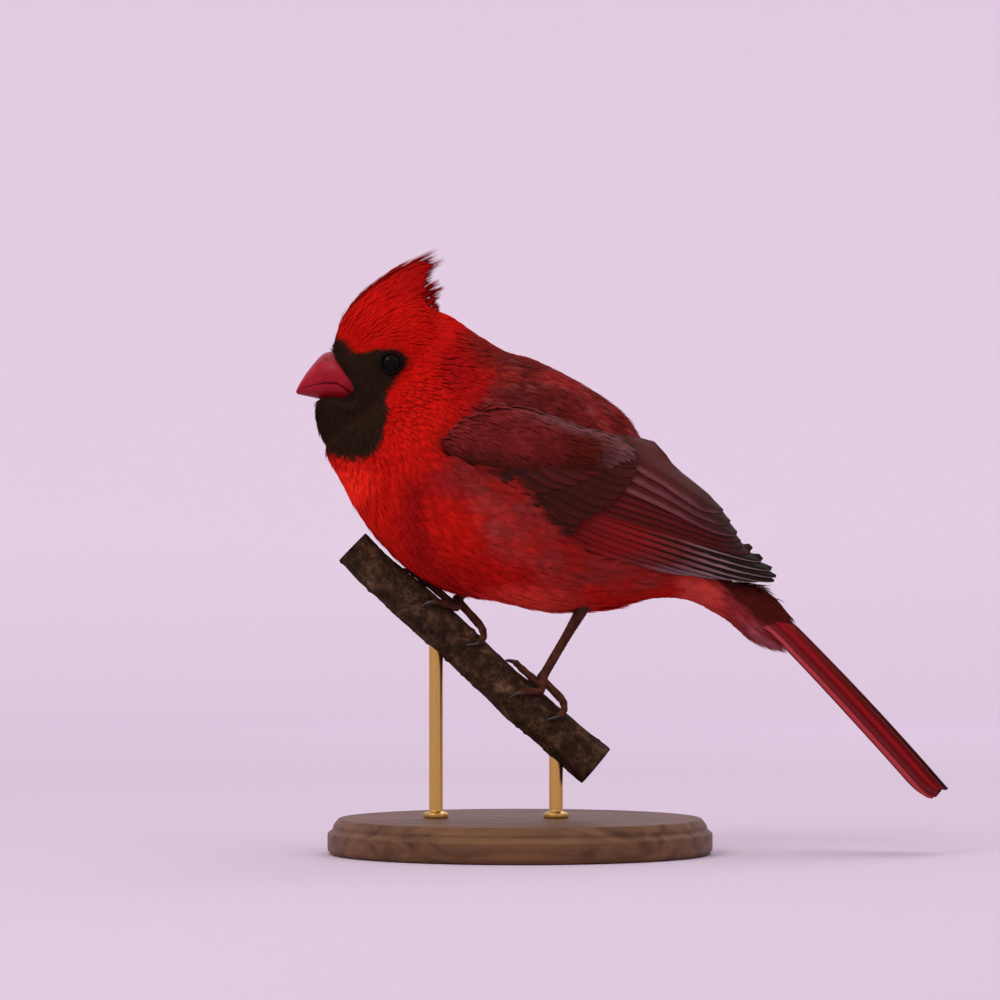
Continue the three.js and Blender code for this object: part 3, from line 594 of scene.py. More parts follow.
def make_fan(name, barbs, spread, width, rise, bends, seed):
    """A feather one unit long, lying along +X, its face towards +Z."""
    rng = np.random.default_rng(seed)
    points, faces, along, local = [], [], [], []
    for k in range(barbs):
        share = (k / (barbs - 1)) * 2 - 1
        angle = share * spread + rng.normal(0, 0.04)
        length = 1 - 0.28 * share**2 + rng.normal(0, 0.05)
        lift = rng.uniform(-0.02, 0.03)
        start = len(points)
        for place in ([0.0, 0.5, 1.0] if bends else [0.0, 1.0]):
            x = length * place * math.cos(angle * place)
            y = 0.55 * spread * share * place * (1.2 - 0.5 * place) * length + 0.04 * share
            z = rise * math.sin(math.pi * place * 0.8) + lift * place
            half = width / 2 * (1 - 0.35 * place)
            if place == 1.0:
                points.append((x, y, z - 0.01))
                along.append(1.0)
            else:
                points += [(x, y - half, z), (x, y + half, z), (x, y, z + half * 0.8)]
                along += [place] * 3
        faces += barb_faces(start, 2 if bends else 1)
        local += [(p[0], p[1] + 0.5) for p in points[start:]]
    fan = face_outwards(mesh_object(name, points, faces))
    store(fan.data, "along", "FLOAT", along)
    store(fan.data, "fan_place", "FLOAT_VECTOR", [(u, v, 0) for u, v in local])
    return fan


fans = {
    "short": make_fan("fan_short", 7, 0.24, 0.10, 0.05, False, 1),
    "sleek": make_fan("fan_sleek", 7, 0.20, 0.060, 0.06, True, 2),
    "loose": make_fan("fan_loose", 7, 0.26, 0.048, 0.07, True, 3),
    "hair": make_fan("fan_hair", 6, 0.22, 0.026, 0.10, True, 4),
}
print("fans:", {name: len(fan.data.polygons) for name, fan in fans.items()})

# %% [markdown]
# Geometry Nodes scatter the fans over the skin. Points are spread on the faces where a zone's cover
# attribute allows, and each fan turns its face to the skin and its length to the lie. The result is made
# real, because an exported model keeps no instances. Barbs are so fine that light treats them as one soft
# surface, so their normals lean towards the skin's own.

# %% Tree that grows a coat


def coat_tree():
    tree = bpy.data.node_groups.new("grow_coat", "GeometryNodeTree")
    for label, kind in (("Skin", "Geometry"), ("Fan", "Object"), ("Cover", "String"), ("Spacing", "Float"),
                        ("Density", "Float"), ("Rise", "Float"), ("Material", "Material"), ("Seed", "Int")):
        tree.interface.new_socket(label, in_out="INPUT", socket_type="NodeSocket" + kind)
    tree.interface.new_socket("Coat", in_out="OUTPUT", socket_type="NodeSocketGeometry")
    given = tree.nodes.new("NodeGroupInput").outputs

    def named(attribute, kind):
        return add_node(tree, "GeometryNodeInputNamedAttribute", {"Name": attribute},
                        data_type=kind).outputs["Attribute"]

    def chance(low, high, seed_shift):
        seed = calc(tree, "ADD", given["Seed"], seed_shift)
        node = add_node(tree, "FunctionNodeRandomValue", {"Seed": seed}, data_type="FLOAT")
        node.inputs[2].default_value, node.inputs[3].default_value = low, high
        return node.outputs[1]

    spread = add_node(tree, "GeometryNodeDistributePointsOnFaces", {
        "Mesh": given["Skin"], "Distance Min": given["Spacing"], "Density Max": given["Density"],
        "Density Factor": named(given["Cover"], "FLOAT"), "Seed": given["Seed"]},
        distribute_method="POISSON")
    stand = add_node(tree, "FunctionNodeAlignRotationToVector", {"Vector": spread.outputs["Normal"]},
                     axis="Z")
    lay = add_node(tree, "FunctionNodeAlignRotationToVector", {
        "Rotation": stand.outputs[0], "Vector": named("lie", "FLOAT_VECTOR")}, axis="X", pivot_axis="Z")
    pitch = calc(tree, "MULTIPLY", given["Rise"], chance(-0.6, -1.4, 3))
    turn = add_node(tree, "FunctionNodeEulerToRotation", {"Euler": add_node(tree, "ShaderNodeCombineXYZ", {
        "X": chance(-0.14, 0.14, 4), "Y": pitch, "Z": chance(-0.11, 0.11, 5)}).outputs[0]})
    settled = add_node(tree, "FunctionNodeRotateRotation", {
        "Rotation": lay.outputs[0], "Rotate By": turn.outputs[0]}, rotation_space="LOCAL")
    scale = calc(tree, "MULTIPLY", named("size", "FLOAT"), chance(0.8, 1.2, 6))
    tinted = add_node(tree, "GeometryNodeStoreNamedAttribute", {
        "Geometry": spread.outputs["Points"], "Name": "tint", "Value": chance(0.0, 1.0, 7)},
        data_type="FLOAT", domain="POINT")
    facing = add_node(tree, "GeometryNodeStoreNamedAttribute", {
        "Geometry": tinted.outputs["Geometry"], "Name": "facing", "Value": spread.outputs["Normal"]},
        data_type="FLOAT_VECTOR", domain="POINT")
    fan = add_node(tree, "GeometryNodeObjectInfo", {"Object": given["Fan"]})
    placed = add_node(tree, "GeometryNodeInstanceOnPoints", {
        "Points": facing.outputs["Geometry"], "Instance": fan.outputs["Geometry"],
        "Rotation": settled.outputs[0], "Scale": scale})
    real = add_node(tree, "GeometryNodeRealizeInstances", {"Geometry": placed.outputs[0]})
    patch = add_node(tree, "ShaderNodeVectorMath", {0: named("fan_place", "FLOAT_VECTOR"), "Scale": 0.003},
                     operation="SCALE")
    bake_place = add_node(tree, "ShaderNodeVectorMath", {
        0: named("unwrap", "FLOAT_VECTOR"), 1: patch.outputs[0]}, operation="ADD")
    own = add_node(tree, "ShaderNodeVectorMath", {
        0: add_node(tree, "GeometryNodeInputNormal").outputs[0], "Scale": 0.45}, operation="SCALE")
    blended = add_node(tree, "ShaderNodeVectorMath",
                       {0: named("facing", "FLOAT_VECTOR"), 1: own.outputs[0]}, operation="ADD")
    soft = add_node(tree, "GeometryNodeSetMeshNormal",
                    {"Mesh": real.outputs[0], "Custom Normal": blended.outputs[0]},
                    mode="FREE", domain="POINT")
    mapped = add_node(tree, "GeometryNodeStoreNamedAttribute", {
        "Geometry": soft.outputs[0], "Name": "OFBake", "Value": bake_place.outputs[0]},
        data_type="FLOAT2", domain="CORNER")
    dressed = add_node(tree, "GeometryNodeSetMaterial", {
        "Geometry": mapped.outputs["Geometry"], "Material": given["Material"]})
    add_node(tree, "NodeGroupOutput", {"Coat": dressed.outputs[0]})
    return tree


grow_coat = coat_tree()


def run_tree(tree, carrier, name, values):
    """Run a node tree on a carrier object and return its result as a plain mesh object."""
    modifier = carrier.modifiers.new("grow", "NODES")
    modifier.node_group = tree
    for socket in tree.interface.items_tree:
        if socket.in_out == "INPUT" and socket.name in values:
            modifier[socket.identifier] = values[socket.name]
    evaluated = carrier.evaluated_get(bpy.context.evaluated_depsgraph_get())
    made = bpy.data.objects.new(name, bpy.data.meshes.new_from_object(evaluated))
    carrier.modifiers.remove(modifier)
    bpy.context.collection.objects.link(made)
    return made


def dress(piece, slot, *nodes):
    """Hang a piece on the root body and hide the nodes that it stands for. The slot is not used."""
    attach(piece, "root")
    if nodes:
        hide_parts(*nodes)
    return piece


COATS = [  # zone, fan, spacing mm, rise, seed
    ("face", "short", 0.46, 0.16, 11),
    ("crown", "sleek", 0.76, 0.10, 12),
    ("breast", "loose", 0.92, 0.10, 13),
    ("belly", "loose", 1.06, 0.10, 14),
    ("back", "loose", 0.95, 0.10, 15),
    ("rear", "loose", 0.72, 0.10, 16),
    ("fringe", "hair", 0.72, 0.42, 17),
]
for zone, fan, spacing, rise, seed in COATS:
    thin = 1
    coat = run_tree(grow_coat, skin, "coat_" + zone, {
        "Fan": fans[fan], "Cover": "cover_" + zone, "Spacing": spacing * MM * math.sqrt(thin),
        "Density": 9e6 / thin, "Rise": rise, "Material": plumage, "Seed": seed})
    dress(coat, "plumage_red")
    print(coat.name, "has", sum(len(p.vertices) - 2 for p in coat.data.polygons), "triangles")
dress(skin, "plumage_red", "head", "mask", "neck", "torso")

# %% [markdown]
# Flight feathers are stiff vanes on a shaft. A folded wing is a stack of them laid like roof tiles: each
# vane's lower edge lies open and its upper edge slides under the next. Tiers of coverts shut the roots.
# The vanes follow the smooth surface that the CAD wings follow, and each is a thin closed plate.

# %% Surface of the folded wing


def wing_points(side, columns, rows, heights):
    """Points of the wing's surface, raised along its normal, and those normals."""
    reach = 2.0

    def half(c, r):
        return half_width_at(WINGS, BODY_POWER, c, r)

    slope_x = np.clip((half(columns + reach, rows) - half(columns - reach, rows)) / (2 * reach * STEP),
                      -1.4, 1.4)
    slope_z = np.clip((half(columns, rows - reach) - half(columns, rows + reach)) / (2 * reach * STEP),
                      -1.4, 1.4)
    normals = np.stack([-slope_x, np.ones(len(columns)), -slope_z], 1)
    normals /= np.linalg.norm(normals, axis=1)[:, None]
    base = half(columns, rows)
    points = np.stack([(columns - STAND_COLUMN) * STEP, base, (FLOOR_ROW - rows) * STEP], 1)
    points += normals * heights[:, None]
    points[:, 1] = np.maximum(points[:, 1], 0.25 * MM) * side
    normals[:, 1] *= side
    return points, normals


class Vanes:
    """Collects thin closed vanes into one mesh, with a feather map and a tint for each."""

    def __init__(self):
        self.points, self.faces, self.maps, self.tints, self.kinds = [], [], [], [], []

    def add(self, top, under, across, along, tint, kind):
        """top and under are arrays of points, rows along the feather by columns across it."""
        count, wide, _ = top.shape
        start = sum(len(p) for p in self.points)
        self.points += [top.reshape(-1, 3), under.reshape(-1, 3)]
        grid = np.arange(count * wide).reshape(count, wide) + start
        low = grid + count * wide
        place = np.stack(np.meshgrid(along, across, indexing="ij"), -1).reshape(-1, 2)[:, ::-1]
        self.maps += [place, place]
        self.tints += [np.full(2 * count * wide, tint)]
        self.kinds += [np.full(2 * count * wide, kind)]
        quads = np.stack([grid[:-1, :-1], grid[:-1, 1:], grid[1:, 1:], grid[1:, :-1]], -1).reshape(-1, 4)
        backs = np.stack([low[:-1, :-1], low[1:, :-1], low[1:, 1:], low[:-1, 1:]], -1).reshape(-1, 4)
        rim = np.concatenate([grid[0, :], grid[1:, -1], grid[-1, -2::-1], grid[-2:0:-1, 0]])
        ahead = np.roll(rim, -1)
        edges = np.stack([ahead, rim, rim + count * wide, ahead + count * wide], -1)
        middle = count // 2
        first, over, ahead_of = top[middle, 0], top[middle, 1], top[middle + 1, 0]
        outwards = np.dot(np.cross(over - first, ahead_of - first), first - under[middle, 0]) > 0
        faces = np.concatenate([quads, backs, edges])
        self.faces += [*map(tuple, faces if outwards else faces[:, ::-1])]

    def piece(self, name, material):
        made = mesh_object(name, np.concatenate(self.points), self.faces)
        mesh = made.data
        store(mesh, "tint", "FLOAT", np.concatenate(self.tints))
        store(mesh, "kind", "FLOAT", np.concatenate(self.kinds))
        corner = np.empty(len(mesh.loops), int)
        mesh.loops.foreach_get("vertex_index", corner)
        layer = mesh.uv_layers.new(name="feather")
        layer.data.foreach_set("uv", np.concatenate(self.maps)[corner].ravel())
        mesh.materials.append(material)
        return face_outwards(made)


VANE = 0.22 * MM
WING_TOP = np.array([
    (560, 398), (600, 402), (640, 427), (660, 447), (680, 466), (699, 481), (712, 492), (724.5, 508),
    (738, 528), (743.5, 539), (759, 550.5), (775, 564), (780, 573)])
print("wing surface ready")

# %% [markdown]
# One wing feather takes its middle line, width and curve in the side view. Its outline narrows at the
# root and rounds off at the tip, small notches open where barbs have parted, and the shaft is a low
# ridge a third of the way across.

# %% One wing feather


def outline_width(along, root_width, tip_start, tip_power):
    rise = root_width + (1 - root_width) * ease(along, 0, 0.3)
    fall = np.clip((along - tip_start) / (1 - tip_start), 0, 1)
    return rise * (1 - fall**tip_power) ** 0.5


def wing_feather(vanes, side, root, tip, width, bow, lift, dip, sink, tint, kind, rng, tip_start=0.72,
                 rows_along=18):
    along = np.concatenate([np.linspace(0, 0.8, rows_along - 8), np.linspace(0.84, 0.997, 8)])
    across = np.array([-1, -0.72, -0.42, -0.3, -0.18, 0.2, 0.6, 1.0])
    root, tip = np.array(root, float), np.array(tip, float)
    axis = tip - root
    up = np.array([axis[1], -axis[0]]) / np.linalg.norm(axis)
    wide = outline_width(along, 0.5, tip_start, 1.7)
    nick = 1 - 0.05 * rng.random(len(along)) ** 3
    spots, heights = [], []
    for u, w, cut in zip(along, wide, nick):
        middle = root + axis * u + up * bow * 4 * u * (1 - u)
        low = lift - sink * max(0.0, 1 - u / 0.3)
        for v in across:
            edge = w * (cut if abs(v) == 1 else 1)
            spots.append(middle + up * v * edge * width / 2 / (STEP / MM))
            ridge = 0.16 if v == -0.3 else 0.0
            heights.append(low - dip * (v + 1) / 2 * w + ridge - 0.25 * ease(u, 0.8, 1.0))
    spots, heights = np.array(spots), np.array(heights) * MM
    spots[:, 1] = np.maximum(spots[:, 1], np.interp(spots[:, 0], WING_TOP[:, 0], WING_TOP[:, 1]) + 0.5)
    top, normals = wing_points(side, spots[:, 0], spots[:, 1], heights)
    under = top - normals * VANE
    under[:, 1] = side * np.maximum(np.abs(under[:, 1]), 0.05 * MM)
    shape = (len(along), len(across), 3)
    vanes.add(top.reshape(shape), under.reshape(shape), across, along, tint, kind)


# %% Tiers of the wing, from the lower edge upwards
PRIMARIES = dict(
    roots=[(532, 515), (548, 492)], widths=(6.2, 5.0), bow=(-8, -1), kind=0.0,
    lift=-0.65, dip=0.9, sink=0.3, tip_start=0.74,
    tips=[(716, 572), (741, 576.5), (762, 579.5), (776, 579), (778.5, 574), (774, 567), (764, 558)])
SECONDARIES = dict(
    roots=[(552, 490), (585, 460)], widths=(6.2, 8.0), bow=(0, 4), kind=0.2,
    lift=-0.65, dip=1.4, sink=0.3, tip_start=0.80,
    tips=[(753, 549), (745, 543), (743, 537), (738, 530), (731, 521), (725, 511)])
TERTIALS = dict(
    roots=[(580, 458), (598, 434)], widths=(8.6, 10.4), bow=(4, 6), kind=0.9,
    lift=-0.25, dip=1.2, sink=0.5, tip_start=0.76,
    tips=[(738, 532), (731, 520), (723.5, 508)])
PRIMARY_COVERTS = dict(
    roots=[(520, 482), (530, 474)], widths=(5.2, 5.4), bow=(-3, -1), kind=0.0,
    lift=0.5, dip=0.5, sink=0.9, tip_start=0.62,
    tips=[(563, 535), (570, 535), (575, 531), (577, 526), (578, 521)])
GREATER_COVERTS = dict(
    roots=[(522, 480), (588, 446)], widths=(6.6, 8.2), bow=(-2, 3), kind=0.4,
    lift=0.55, dip=0.5, sink=1.2, tip_start=0.66,
    tips=[(580, 521), (591, 516), (601, 509.5), (610, 503), (618, 496), (625, 488.5), (630, 481),
          (634, 473), (638, 463)])
MEDIAN_COVERTS = dict(
    roots=[(500, 466), (572, 436)], widths=(6.6, 7.2), bow=(-1, 1), kind=0.8,
    lift=0.8, dip=0.45, sink=1.6, tip_start=0.62,
    tips=[(539, 492), (552, 490), (565, 486), (578, 482), (590, 477.5), (602, 472), (613, 465),
          (621, 456)])


def between(pair, share):
    return pair[0] + (pair[1] - pair[0]) * share


def build_tiers(name, side, tiers, material):
    rng = np.random.default_rng(40 + side)
    vanes = Vanes()
    for tier in tiers:
        for k, tip in enumerate(tier["tips"]):
            share = k / (len(tier["tips"]) - 1)
            (ax, ay), (bx, by) = tier["roots"]
            root = (between((ax, bx), share), between((ay, by), share))
            wing_feather(vanes, side, root, tip, between(tier["widths"], share),
                         between(tier["bow"], share), tier["lift"], tier["dip"], tier["sink"],
                         rng.random(), tier["kind"], rng, tier["tip_start"])
    return vanes.piece(name, material)


# %% [markdown]
# The vane material reads the feather map: across runs from the open lower edge at -1 to the hidden upper
# edge at 1. A cardinal's primaries have a red outer edge that fades to grey towards the tip over a dark
# brown vane. Its coverts are dark maroon with hardly an edge. Barbs are drawn coarser than real.

# %% Vane material
BARBS_ALONG = 70.0  # barbs from the root of a vane to its tip
BARB_SLANT = 3.5  # barbs crossed by a straight line over half the vane


def vane_material(name, edge_stops, vane_stops, reach, soften=0.10, by_kind=False):
    """reach is how far the edge colour comes in across the vane at the root and at the tip."""
    material, tree, shader = new_material(name, "#4a1a1c", roughness=0.68, specular_ior_level=0.08)
    place = add_node(tree, "ShaderNodeUVMap", uv_map="feather").outputs[0]
    parts = add_node(tree, "ShaderNodeSeparateXYZ", {0: place}).outputs
    across, along = parts["X"], parts["Y"]
    tint = add_node(tree, "ShaderNodeAttribute", attribute_name="tint").outputs["Fac"]
    kind = add_node(tree, "ShaderNodeAttribute", attribute_name="kind").outputs["Fac"]
    worn = map_range(tree, cloud(tree, 260.0, detail=3.0), to_min=-soften, to_max=soften)
    limit = map_range(tree, along, from_min=0.25, from_max=0.9, to_min=reach[0], to_max=reach[1])
    beyond = calc(tree, "ADD", calc(tree, "SUBTRACT", across, limit), worn)
    inner = add_node(tree, "ShaderNodeMapRange", {
        "Value": beyond, "From Min": -soften, "From Max": soften}, interpolation_type="SMOOTHSTEP")
    blended = add_node(tree, "ShaderNodeMix", data_type="RGBA", inputs={"Factor": inner.outputs[0]})
    tree.links.new(ramp(tree, kind if by_kind else along, edge_stops), blended.inputs[6])
    tree.links.new(ramp(tree, along, vane_stops), blended.inputs[7])
    light = map_range(tree, tint, to_min=0.86, to_max=1.14)
    shaded = add_node(tree, "ShaderNodeVectorMath", {0: blended.outputs[2], "Scale": light},
                      operation="SCALE")
    tree.links.new(shaded.outputs["Vector"], shader.inputs["Base Color"])
    barbs = calc(tree, "ADD", calc(tree, "MULTIPLY", along, BARBS_ALONG),
                 calc(tree, "MULTIPLY", across, BARB_SLANT))
    wave = calc(tree, "SINE", calc(tree, "MULTIPLY", barbs, 6.283))
    bump(tree, shader, wave, 0.00005, 0.3)
    return material


primary_vane = vane_material(
    "primary_vane_keratin",
    [(0.0, "#4a0f0d"), (0.42, "#7c1413"), (0.6, "#682b29"), (0.78, "#856b6c"), (1.0, "#75625f")],
    [(0.0, "#3c110d"), (0.5, "#33120d"), (0.72, "#1f110b"), (1.0, "#180f0a")], (-0.3, -0.86))
inner_vane = vane_material(
    "inner_vane_keratin",
    [(0.0, "#5c1414"), (0.4, "#5c1414"), (0.8, "#642e30"), (1.0, "#74484c")],
    [(0.0, "#4a1412"), (0.5, "#481412"), (0.8, "#3c1713"), (1.0, "#2c1812")], (-0.66, -0.86), 0.2,
    by_kind=True)
covert_vane = vane_material(
    "covert_vane_keratin",
    [(0.0, "#30110c"), (0.4, "#40140f"), (0.8, "#4e1614"), (1.0, "#4e1614")],
    [(0.0, "#2a0f0a"), (0.6, "#34110c"), (1.0, "#401410")], (-0.7, -0.6), 0.4, by_kind=True)
for side, word in ((LEFT, "left"), (RIGHT, "right")):
    flight = build_tiers("wing_primaries_" + word, side, [PRIMARIES], primary_vane)
    inner = build_tiers("wing_inner_" + word, side, [SECONDARIES, TERTIALS], inner_vane)
    coverts = build_tiers("wing_coverts_" + word, side,
                          [PRIMARY_COVERTS, GREATER_COVERTS, MEDIAN_COVERTS], covert_vane)
    dress(flight, "plumage_wing", "wing_" + word)
    dress(inner, "plumage_wing")
    dress(coverts, "plumage_wing")
    vane_faces = len(flight.data.polygons) + len(coverts.data.polygons)
    print(flight.name, "and its coverts have", vane_faces, "faces")

# %% [markdown]
# Small coverts cap the shoulder. They lie so close that they read as a smooth cushion, so a shell of the
# wing's own surface carries them, and the same tree that grows the body coat grows them here.

# %% Shoulder coverts
CAP_ROWS = np.array([
    [438, 447, 439, 441], [453, 455, 455, 425], [480, 463, 482, 411], [510, 471, 513, 407],
    [540, 475, 545, 415], [568, 473, 575, 427], [598, 468, 604, 435], [622, 458, 624, 447]], float)


def lie_on_cap(normals):
    lie = np.tile(np.array([0.90, 0.0, -0.43]), (len(normals), 1))
    lie -= normals * (lie * normals).sum(1)[:, None]
    return lie / np.linalg.norm(lie, axis=1)[:, None]


def build_cap(side):
    steps, across = 40, 30
    lines = blend(CAP_ROWS, np.linspace(0, len(CAP_ROWS) - 1, steps))
    share = np.linspace(0, 1, across)
    length = np.linspace(0, 1, steps)
    columns = (lines[:, None, 0] + (lines[:, None, 2] - lines[:, None, 0]) * share).ravel()
    rows = (lines[:, None, 1] + (lines[:, None, 3] - lines[:, None, 1]) * share).ravel()
    dome_across = np.sin(math.pi * (0.06 + 0.88 * share))[None, :]
    dome = dome_across * np.sin(math.pi * (0.10 + 0.72 * length))[:, None]
    ends = (0.9 * ease(length, 0.6, 0.9) - 1.3 * ease(length, 0.22, 0.0))[:, None]
    top, normals = wing_points(side, columns, rows, (-0.9 + 2.3 * dome + ends).ravel() * MM)
    under, _ = wing_points(side, columns, rows, np.full(len(columns), -2.6 * MM))
    vanes = Vanes()
    vanes.add(top.reshape(steps, across, 3), under.reshape(steps, across, 3),
              np.linspace(-1, 1, across), length, 0.5, 0.0)
    name = "shoulder_" + ("left" if side == LEFT else "right")
    cap = vanes.piece(name, skin_material)
    count = len(columns)
    both_normals = np.concatenate([normals, -normals])
    both_columns = np.concatenate([columns, columns])
    both_rows = np.concatenate([rows, rows])
    store(cap.data, "lie", "FLOAT_VECTOR", lie_on_cap(both_normals))
    where = np.array([v.co for v in cap.data.vertices])
    soft = slow_noise(where, 5 * MM, 3.0)
    tone = mix(hex_array("#661a1a"), hex_array("#7c2424"), np.clip(0.4 + soft, 0, 1))
    tone = mix(tone, hex_array("#48130c"), ease(both_columns, 520, 575) * 0.9)
    both_shares = np.tile(share, 2 * steps)
    low_edge = ease(both_shares, 0.5, 0.0)
    tone = mix(tone, hex_array("#3a150e"), low_edge * 0.85)
    # painted sheen: a pale greyish-mauve highlight along the cap's upper rim and over its rear end
    rim = ease(both_shares, 0.72, 1.0) * ease(both_columns, 490, 560) + ease(both_columns, 580, 612)
    tone = mix(tone, hex_array("#7c5052"), np.clip(rim, 0, 1) * 0.65)
    store_plumage(cap.data, tone)
    place = np.stack([
        0.3 + both_columns / 3000, 0.5 + side * (0.2 + both_rows / 3000), np.zeros(2 * count)], 1)
    store(cap.data, "unwrap", "FLOAT_VECTOR", place)
    store(cap.data, "size", "FLOAT", np.full(2 * count, 4.6 * MM))
    store(cap.data, "cover_cap", "FLOAT", np.concatenate([np.ones(count), np.zeros(count)]))
    return cap


for side in (LEFT, RIGHT):
    cap = build_cap(side)
    grown = run_tree(grow_coat, cap, cap.name + "_coverts", {
        "Fan": fans["sleek"], "Cover": "cover_cap", "Spacing": 0.85 * MM, "Density": 9e6, "Rise": 0.08,
        "Material": plumage, "Seed": 21})
    dress(cap, "plumage_wing")
    dress(grown, "plumage_wing")
    print(grown.name, "has", len(grown.data.polygons), "faces")

# %% [markdown]
# A folded tail is twelve feathers stacked like a roof, the middle pair on top. Seen from the side, the
# outer edges show as narrow stripes.

# %% Tail
TAIL_ROOT = (735, 598)
TAIL_RISE = (3.2, 6.6)  # mm of the top feather above the tail's line, at the root and once clear of it
TAIL_FALL = 4.1  # mm of that lost again at the tip
TAIL_PITCH = 0.3 * MM
TAIL_DROP = 5.3 * MM  # how far the dome of the folded tail falls from its ridge to its edge
TAIL_HALF = 10.2 * MM
TAIL_EDGES = (6.6, 8.2, 8.5, 9.5, 10.2)  # mm from the ridge to the edge of each pair under the middle one
tail_start = at(*TAIL_ROOT)
tail_lie = at(*TAIL_TIP) - tail_start
tail_up = Vector((-tail_lie.z, 0, tail_lie.x)).normalized()


def tail_feather(vanes, level, inner, outer, share, tint):
    along = np.concatenate([np.linspace(0, 0.86, 16), np.linspace(0.89, 0.995, 8)])
    across = np.array([-1, -0.7, -0.42, -0.3, -0.18, 0.25, 0.65, 1.0])
    wide = outline_width(along, 0.45, 0.88, 2.6) * (0.86 + 0.14 * ease(along, 0.2, 0.7))
    middle, reach = (inner + outer) / 2, (outer - inner) / 2
    top = []
    for u, w in zip(along, wide):
        spread = 0.55 + 0.45 * min(1.0, u * 2.6)
        rise = TAIL_RISE[0] + (TAIL_RISE[1] - TAIL_RISE[0]) * min(1.0, u / 0.2)
        base = tail_start + tail_lie * u * share
        base = base + tail_up * ((rise - TAIL_FALL * u**2) * MM - level * TAIL_PITCH)
        for v in across:
            fall = [(abs(middle - place * reach) / TAIL_HALF) ** 3 for place in (0.0, v)]
            drop = TAIL_DROP * (fall[0] + (fall[1] - fall[0]) * (0.35 + 0.65 * w))
            ridge = 0.14 * MM if v == -0.3 else 0.0
            point = base + tail_up * (ridge - drop)
            top.append((point.x, (middle - v * reach * w) * spread, point.z))
    top = np.array(top).reshape(len(along), len(across), 3)
    under = top - np.array(tail_up) * VANE
    vanes.add(top, under, across, along, tint, level / 6)


def build_tail(material):
    rng = np.random.default_rng(77)
    vanes = Vanes()
    tail_feather(vanes, 0, -4.6 * MM, 6.4 * MM, 1.01, 0.5)
    tail_feather(vanes, 1, 4.6 * MM, -6.4 * MM, 1.0, 0.4)
    for k, edge in enumerate(TAIL_EDGES):
        for side in (LEFT, RIGHT):
            tail_feather(vanes, k + 2, side * 0.2 * MM, side * edge * MM,
                         0.995 - 0.006 * (k % 3) + 0.002 * side, 0.4 + 0.2 * rng.random())
    return vanes.piece("tail_feathers", material)


tail_vane = vane_material(
    "tail_vane_keratin",
    [(0.0, "#46110e"), (0.2, "#560d0f"), (0.4, "#82080e"), (0.6, "#76090f"), (0.8, "#4e0c0e"),
     (1.0, "#a0343b")],
    [(0.0, "#3e0f0c"), (0.35, "#5c0c10"), (0.7, "#3e0e0c"), (1.0, "#24110c")], (-0.2, -0.5), 0.16,
    by_kind=True)
tail = build_tail(tail_vane)
dress(tail, "plumage_tail", "tail")
print("tail has", len(tail.data.polygons), "faces")

# %% [markdown]
# The crest is made of long narrow feathers that rise from the forehead and crown and meet in a point.
# Each is a small lock of tapering barbs, laid in rows with the middle one highest.

# %% Crest
CREST_ROWS = [  # root, tip, bow outwards in grid steps
    ((336, 336), (350, 305), 2.5), ((339, 328), (360, 294), 3.0), ((344, 319), (372, 284), 3.5),
    ((349, 312), (385, 274), 4.0), ((355, 306), (398, 266), 4.5), ((362, 300), (411, 259), 5.0),
    ((369, 296), (424, 254), 5.0), ((377, 293), (439, 247), 5.0), ((386, 291), (440, 253), 4.0),
    ((394, 290), (446, 257), 4.0), ((401, 291), (434, 267), 2.0), ((407, 293), (434, 274), 1.5),
    ((413, 296), (441, 278), 1.5), ((419, 299), (445, 285), 1.0), ((425, 303), (436, 294), 1.0),
    ((430, 307), (440, 303), 0.5)]


